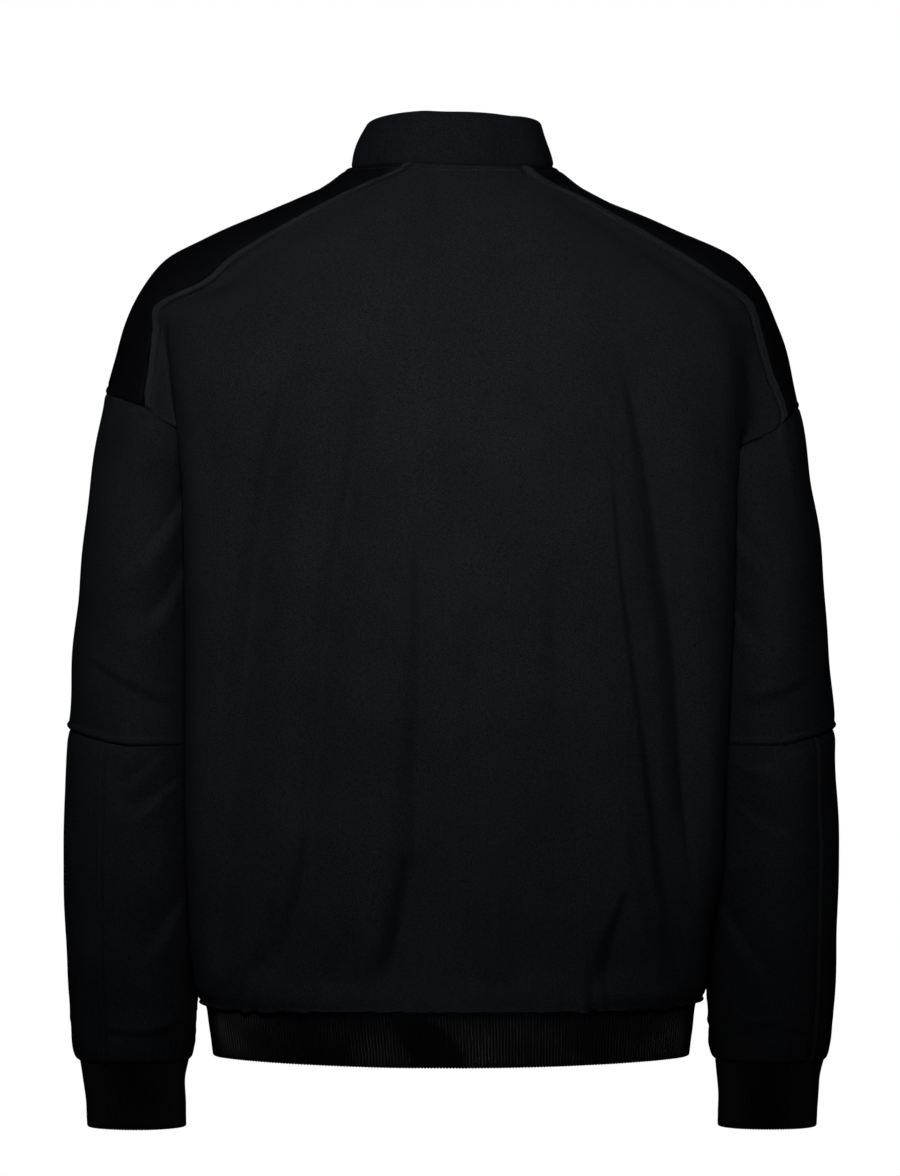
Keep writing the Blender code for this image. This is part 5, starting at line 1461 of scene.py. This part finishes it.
def rib_push(points, phase, down, hollows):
    """How far the rib knit stands out: rounded ridges, uneven waves and soft hollows."""
    ridge = (0.5 - 0.5 * np.cos(2 * math.pi * phase)) ** RIB_ROUND
    crowd = 1 + RIB_CROWDED * soft_noise(points, RIB_CROWD_SIZE, RIB_CROWD_SEED)
    push = RIB_DEEP * (ridge - 1) * crowd
    waves = RIB_WAVE * soft_noise(points, RIB_WAVE_SIZE, RIB_WAVE_SEED)
    push += waves * math.sin(math.pi * min(1, down * RIB_WAVE_SPAN))
    fades = math.sin(math.pi * min(1, HOLLOW_START + down * HOLLOW_SPAN))
    for place, width, depth in hollows:
        push -= hump(points[:, 0], place, width, depth) * (points[:, 1] > 0) * fades
    return push


def ribbed_band(name, rings, closed, made, lean, hollows):
    """Rib knit on the outside of a band given by its rings, and a plain inside."""
    rings = np.asarray(rings)
    closing = [rings[:, :1]] if closed else []
    line = np.concatenate([rings] + closing, axis=1)
    length = np.linalg.norm(np.diff(line[0], axis=0), axis=1).sum()
    ribs = round(length / RIB_PITCH)
    count = ribs * RIB_STEPS
    share = np.arange(count + (0 if closed else 1)) / count
    outer = []
    for number, ring in enumerate(line):
        down = number / (len(line) - 1)
        leaned = share + lean * (down - 0.5) / length * (np.sin(math.pi * share) if not closed else 1)
        leaned = leaned % 1.0 if closed else np.clip(leaned, 0, 1)
        points, out = at_shares(ring, leaned, closed)
        outer.append(points + out * rib_push(points, share * ribs, down, hollows)[:, None])
    plain = []
    for row in (len(outer) - 1, len(outer) // 2, 0):
        points, out = at_shares(line[row], share, closed)
        plain.append(points - out * (RIB_KNIT + RIB_INSIDE))
    rings = outer + round_edge(outer, plain, RIB_EDGE_STEPS) + plain
    return band_mesh(name, rings, closed, made)


def build_hem(made):
    rings = [hem_ring_fine(part) for part in np.linspace(HEM_FROM, HEM_TO, HEM_LINES)]
    return ribbed_band("hem_band", rings, False, made, HEM_LEAN, HEM_HOLLOWS)


def hem_ring_fine(part):
    """The hem rib's outline at a part of its height, from 0 at its seam to 1 at its foot."""
    fine_columns = np.linspace(0, SEAM_COLUMN, HEM_COLUMNS)
    half = {}
    for side in SIDES:
        front = body_grid(side, "front", (HEM_ROW,), fine_columns)[0]
        back = body_grid(side, "back", (HEM_ROW,), fine_columns[::-1])[0]
        half[side] = np.concatenate([front, back[1:]])
    ring = np.concatenate([half["left"], half["right"][::-1][1:]])
    tuck = RIB_TUCK_AT_SEAM + (RIB_TUCK - RIB_TUCK_AT_SEAM) * min(1, part / RIB_TUCK_GROWS)
    ring = ring - level_normals(ring, False) * (tuck + HEM_DRAW_IN * part)
    foot = BACK_LEFT["mid_z"][HEM_ROW] - HEM_RIB_HEIGHT + HEM_FOOT_RISE * (ring[:, 0] / HEM_HALF) ** 2
    ring[:, 2] += (foot - ring[:, 2]) * part
    for end, sign in ((0, 1), (-1, -1)):
        ring[end, 0] = sign * ZIP_GAP
    return ring[np.concatenate([[True], np.abs(ring[1:-1, 0]) > ZIP_GAP, [True]])]


def build_cuff(side, made):
    angles = np.linspace(0, 2 * math.pi, CUFF_COLUMNS, endpoint=False)
    forward = SLEEVE_RIGHT_FORWARD if side == "right" else 0.0
    high = CUFF_SECTIONS["down"]
    rings = []
    for down in np.linspace(CUFF_FROM, high[-1] - CUFF_ROUND, CUFF_LINES):
        sizes = [float(smooth(high, CUFF_SECTIONS[name], down)) for name in SLEEVE_SIZES]
        sizes[1] -= forward
        rings.append(ellipse_ring(angles, side, *sizes, CUFF_TOP_Z - down))
    return ribbed_band("cuff_piece_" + side, rings, True, made, CUFF_LEAN, ())


# ---- Zip ----


def centre_line():
    """The centre front, from the hem rib's foot to just below the collar's top: x, y, z and wall depth."""
    rows = BODY_ROWS[1:-1]
    collar_depth = COLLAR_CLOTH + COLLAR_ROUND
    parts = (
        (np.array([hem_ring_fine(part)[0] for part in (1.0, 0.0)]), RIB_KNIT),
        (
            body_grid("left", "front", rows, (0,))[:, 0],
            np.interp(rows, (CHEST_ROW, NECK_ROW), (CLOTH, collar_depth)),
        ),
        (collar_point_rows(neck_ring_fine(), COLLAR_PARTS)[:, 0], collar_depth),
    )
    line = np.concatenate([np.insert(points, 3, depth, axis=1) for points, depth in parts])
    line[:, 0] = 0
    line[-1] += (line[-2] - line[-1]) * TAPE_BELOW_TOP / np.linalg.norm(line[-1, :3] - line[-2, :3])
    at = places_along(line)
    return smooth(at, line, np.linspace(0, at[-1], ZIP_LINES))


def frame_along(line):
    along = np.gradient(line[:, :3], axis=0)
    along /= np.linalg.norm(along, axis=1, keepdims=True)
    out = np.stack([np.zeros(len(line)), -along[:, 2], along[:, 1]], axis=-1)
    return along, out / np.linalg.norm(out, axis=1, keepdims=True)


def build_tape(line, made):
    """Both tapes of the zip, which meet under the teeth, each with a ribbed weave and a beaded edge."""
    _, out = frame_along(line)
    across = np.linspace(-TAPE_HALF, TAPE_HALF, TAPE_COLUMNS)
    ribs = WEAVE_HIGH * np.sin(2 * math.pi * across / WEAVE_PITCH)
    bead = hump(np.abs(across), BEAD_AT, BEAD_WIDE, BEAD_HIGH)
    lift = ribs + bead - hump(across, 0, TAPE_CUT_WIDE, TAPE_CUT_DEEP)
    depth = (line[:, 3] + TAPE_CLEAR)[:, None] - lift[None]
    face = line[:, None, :3] - out[:, None] * depth[..., None]
    face[..., 0] = across[None]
    panel = Panel("zip_tapes", np.arange(len(line)), across, face, BODY_INSIDE)
    return shell(panel, TAPE_THICK, TAPE_STRIDE, made)


def tooth(width, height, length):
    """A moulded tooth: a rounded block with a narrower neck towards its tape."""
    shape = bmesh.new()
    bmesh.ops.create_cube(shape, size=1.0)
    bmesh.ops.scale(shape, vec=(width, length, height), verts=shape.verts)
    bmesh.ops.bevel(shape, geom=shape.edges[:], offset=TOOTH_ROUND, segments=1, affect="EDGES")
    points = np.array([v.co[:] for v in shape.verts])
    faces = [[v.index for v in f.verts] for f in shape.faces]
    shape.free()
    narrow = np.clip(points[:, 0] / width + 0.5, 0, 1)
    points[:, 1] *= 1 - TOOTH_NECK * narrow
    return points, faces


def build_teeth(line, made, stop_at):
    """The closed chain: teeth from both tapes in turn, each reaching just over the middle."""
    at = places_along(line)
    along, out = frame_along(line)
    points, faces = [], []
    shape, corners = tooth(TOOTH_WIDE, TOOTH_HIGH, TOOTH_LONG)
    count = int(stop_at / TOOTH_PITCH * 2)
    for number in range(count):
        place = (number + 0.5) * TOOTH_PITCH / 2
        here = np.array([np.interp(place, at, line[:, i]) for i in range(4)])
        way = picked(place, at, along)
        up = picked(place, at, out)
        side = 1 if number % 2 else -1
        middle = here[:3] - up * (here[3] + TAPE_CLEAR - TOOTH_HIGH / 2)
        first = len(points)
        for x, y, z in shape:
            points.append(middle + np.array([side * (TOOTH_OUT + x), 0, 0]) + way * y + up * z)
        faces += [[first + index for index in face] for face in corners]
    return finish_mesh("zip_teeth", points, faces, made)


# ---- The scene ----


def area_light(name, at, target, size, spread, power, glossy):
    data = bpy.data.lights.new(name, "AREA")
    data.shape = "RECTANGLE"
    data.size, data.size_y = size
    data.energy = power
    data.spread = math.radians(spread)
    obj = bpy.data.objects.new(name, data)
    obj.visible_glossy = glossy
    obj.location = at
    obj.rotation_euler = (Vector(target) - Vector(at)).to_track_quat("-Z", "Y").to_euler()
    bpy.context.scene.collection.objects.link(obj)


def add_camera(scene):
    data = bpy.data.cameras.new("camera")
    data.sensor_width = SENSOR
    data.lens = SENSOR / 2 / (FRAME_HIGH / 2 / CAMERA_AWAY)
    camera = bpy.data.objects.new("camera", data)
    camera.location = CAMERA_AT
    camera.rotation_euler = (math.pi / 2, 0, math.pi)
    scene.collection.objects.link(camera)
    scene.camera = camera


def add_world(scene):
    """Surroundings that are white to the camera and put almost no light on the cloth."""
    world = bpy.data.worlds.new("studio")
    world.use_nodes = True
    scene.world = world
    tree = world.node_tree
    light = tree.nodes["Background"]
    light.inputs["Color"].default_value = AMBIENT_COLOR
    light.inputs["Strength"].default_value = AMBIENT
    white = new_node(tree, "Background", color=WHITE, strength=1.0)
    seen = tree.nodes.new("ShaderNodeLightPath")
    mixed = tree.nodes.new("ShaderNodeMixShader")
    link(tree, seen.outputs["Is Camera Ray"], mixed.inputs["Fac"])
    link(tree, light.outputs["Background"], mixed.inputs[1])
    link(tree, white.outputs["Background"], mixed.inputs[2])
    link(tree, mixed.outputs["Shader"], tree.nodes["World Output"].inputs["Surface"])


def add_floor(scene):
    """A pale round floor that glows a little and doesn't light the cloth."""
    mesh = bpy.data.meshes.new("floor")
    shape = bmesh.new()
    bmesh.ops.create_circle(shape, cap_ends=True, segments=FLOOR_SEGMENTS, radius=FLOOR_RADIUS)
    shape.to_mesh(mesh)
    shape.free()
    floor = bpy.data.objects.new("floor", mesh)
    floor.location.z = FLOOR_Z
    pale, _, shader = new_material("floor_white")
    shader.inputs["Base Color"].default_value = FLOOR_COLOR
    shader.inputs["Roughness"].default_value = FLOOR_ROUGH
    shader.inputs["Emission Color"].default_value = FLOOR_GLOW
    shader.inputs["Emission Strength"].default_value = FLOOR_GLOW_STRENGTH
    mesh.materials.append(pale)
    scene.collection.objects.link(floor)
    floor.visible_diffuse = False
    floor.visible_glossy = False


def build_studio():
    scene = bpy.context.scene
    scene.view_settings.view_transform = "Standard"
    add_camera(scene)
    add_world(scene)
    add_floor(scene)
    for light in LIGHTS:
        area_light(*light)


def paint_band_highlight(obj, panel, made):
    """Gives the raised bands of a shoulder panel a lighter knit: a painted highlight where their raised
    crowns catch the light.
    """
    obj.data.materials.append(made)
    rows, columns = panel.points.shape[:2]
    near = panel.beside() < BAND_WIDTH + BAND_EDGE_HIGHLIGHTED * BAND_EDGE
    on_band = (near[:-1, :-1] & near[1:, 1:]).reshape(-1)
    for polygon, banded in zip(obj.data.polygons[: (rows - 1) * (columns - 1)], on_band):
        polygon.material_index = 1 if banded else 0


def main():
    build_studio()
    knits = {piece: cloth_material(*look) for piece, look in KNITS.items()}
    metal = metal_material("black_satin_metal", METAL_BLACK, METAL_ROUGH)

    stitches = Stitches()
    panels = {"back": build_back(stitches)}
    for side in SIDES:
        panels["front_" + side] = build_front(side, stitches)
        panels["shoulder_" + side] = build_shoulder(side, stitches)
        panels["upper_sleeve_" + side] = build_upper_sleeve(side, stitches)
        for part in ("inner", "outer"):
            panels[f"lower_sleeve_{part}_{side}"] = build_lower_sleeve(side, part, stitches)
    for node, panel in panels.items():
        on_shoulder = node.startswith("shoulder")
        made = knits["shoulder" if on_shoulder else "body"]
        obj = shell(panel, CLOTH, INSIDE_STRIDE, made)
        if on_shoulder:
            paint_band_highlight(obj, panel, knits["band"])
        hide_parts(node)

    line = centre_line()
    others = {"collar": build_collar(knits["collar"], stitches), "hem_rib": build_hem(knits["hem"])}
    for side in SIDES:
        others["cuff_" + side] = build_cuff(side, knits["cuff"])
    others["zip_tape"] = build_tape(line, knits["tape"])
    for node, obj in others.items():
        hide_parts(node)
    slider_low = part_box("zip_slider")[0]
    last = np.argmin(np.abs(line[:, 2] - (slider_low[2] - TEETH_BELOW_SLIDER)))
    teeth = build_teeth(line, metal, places_along(line)[last])
    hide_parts("zip_chain")
    thread = knits["thread"]
    finish_mesh("topstitching", stitches.points, stitches.faces, thread, sharp=ALL_SMOOTH)
    for node in ("zip_slider", "zip_pull"):
        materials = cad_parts[node].data.materials
        materials.clear()
        materials.append(metal)


main()
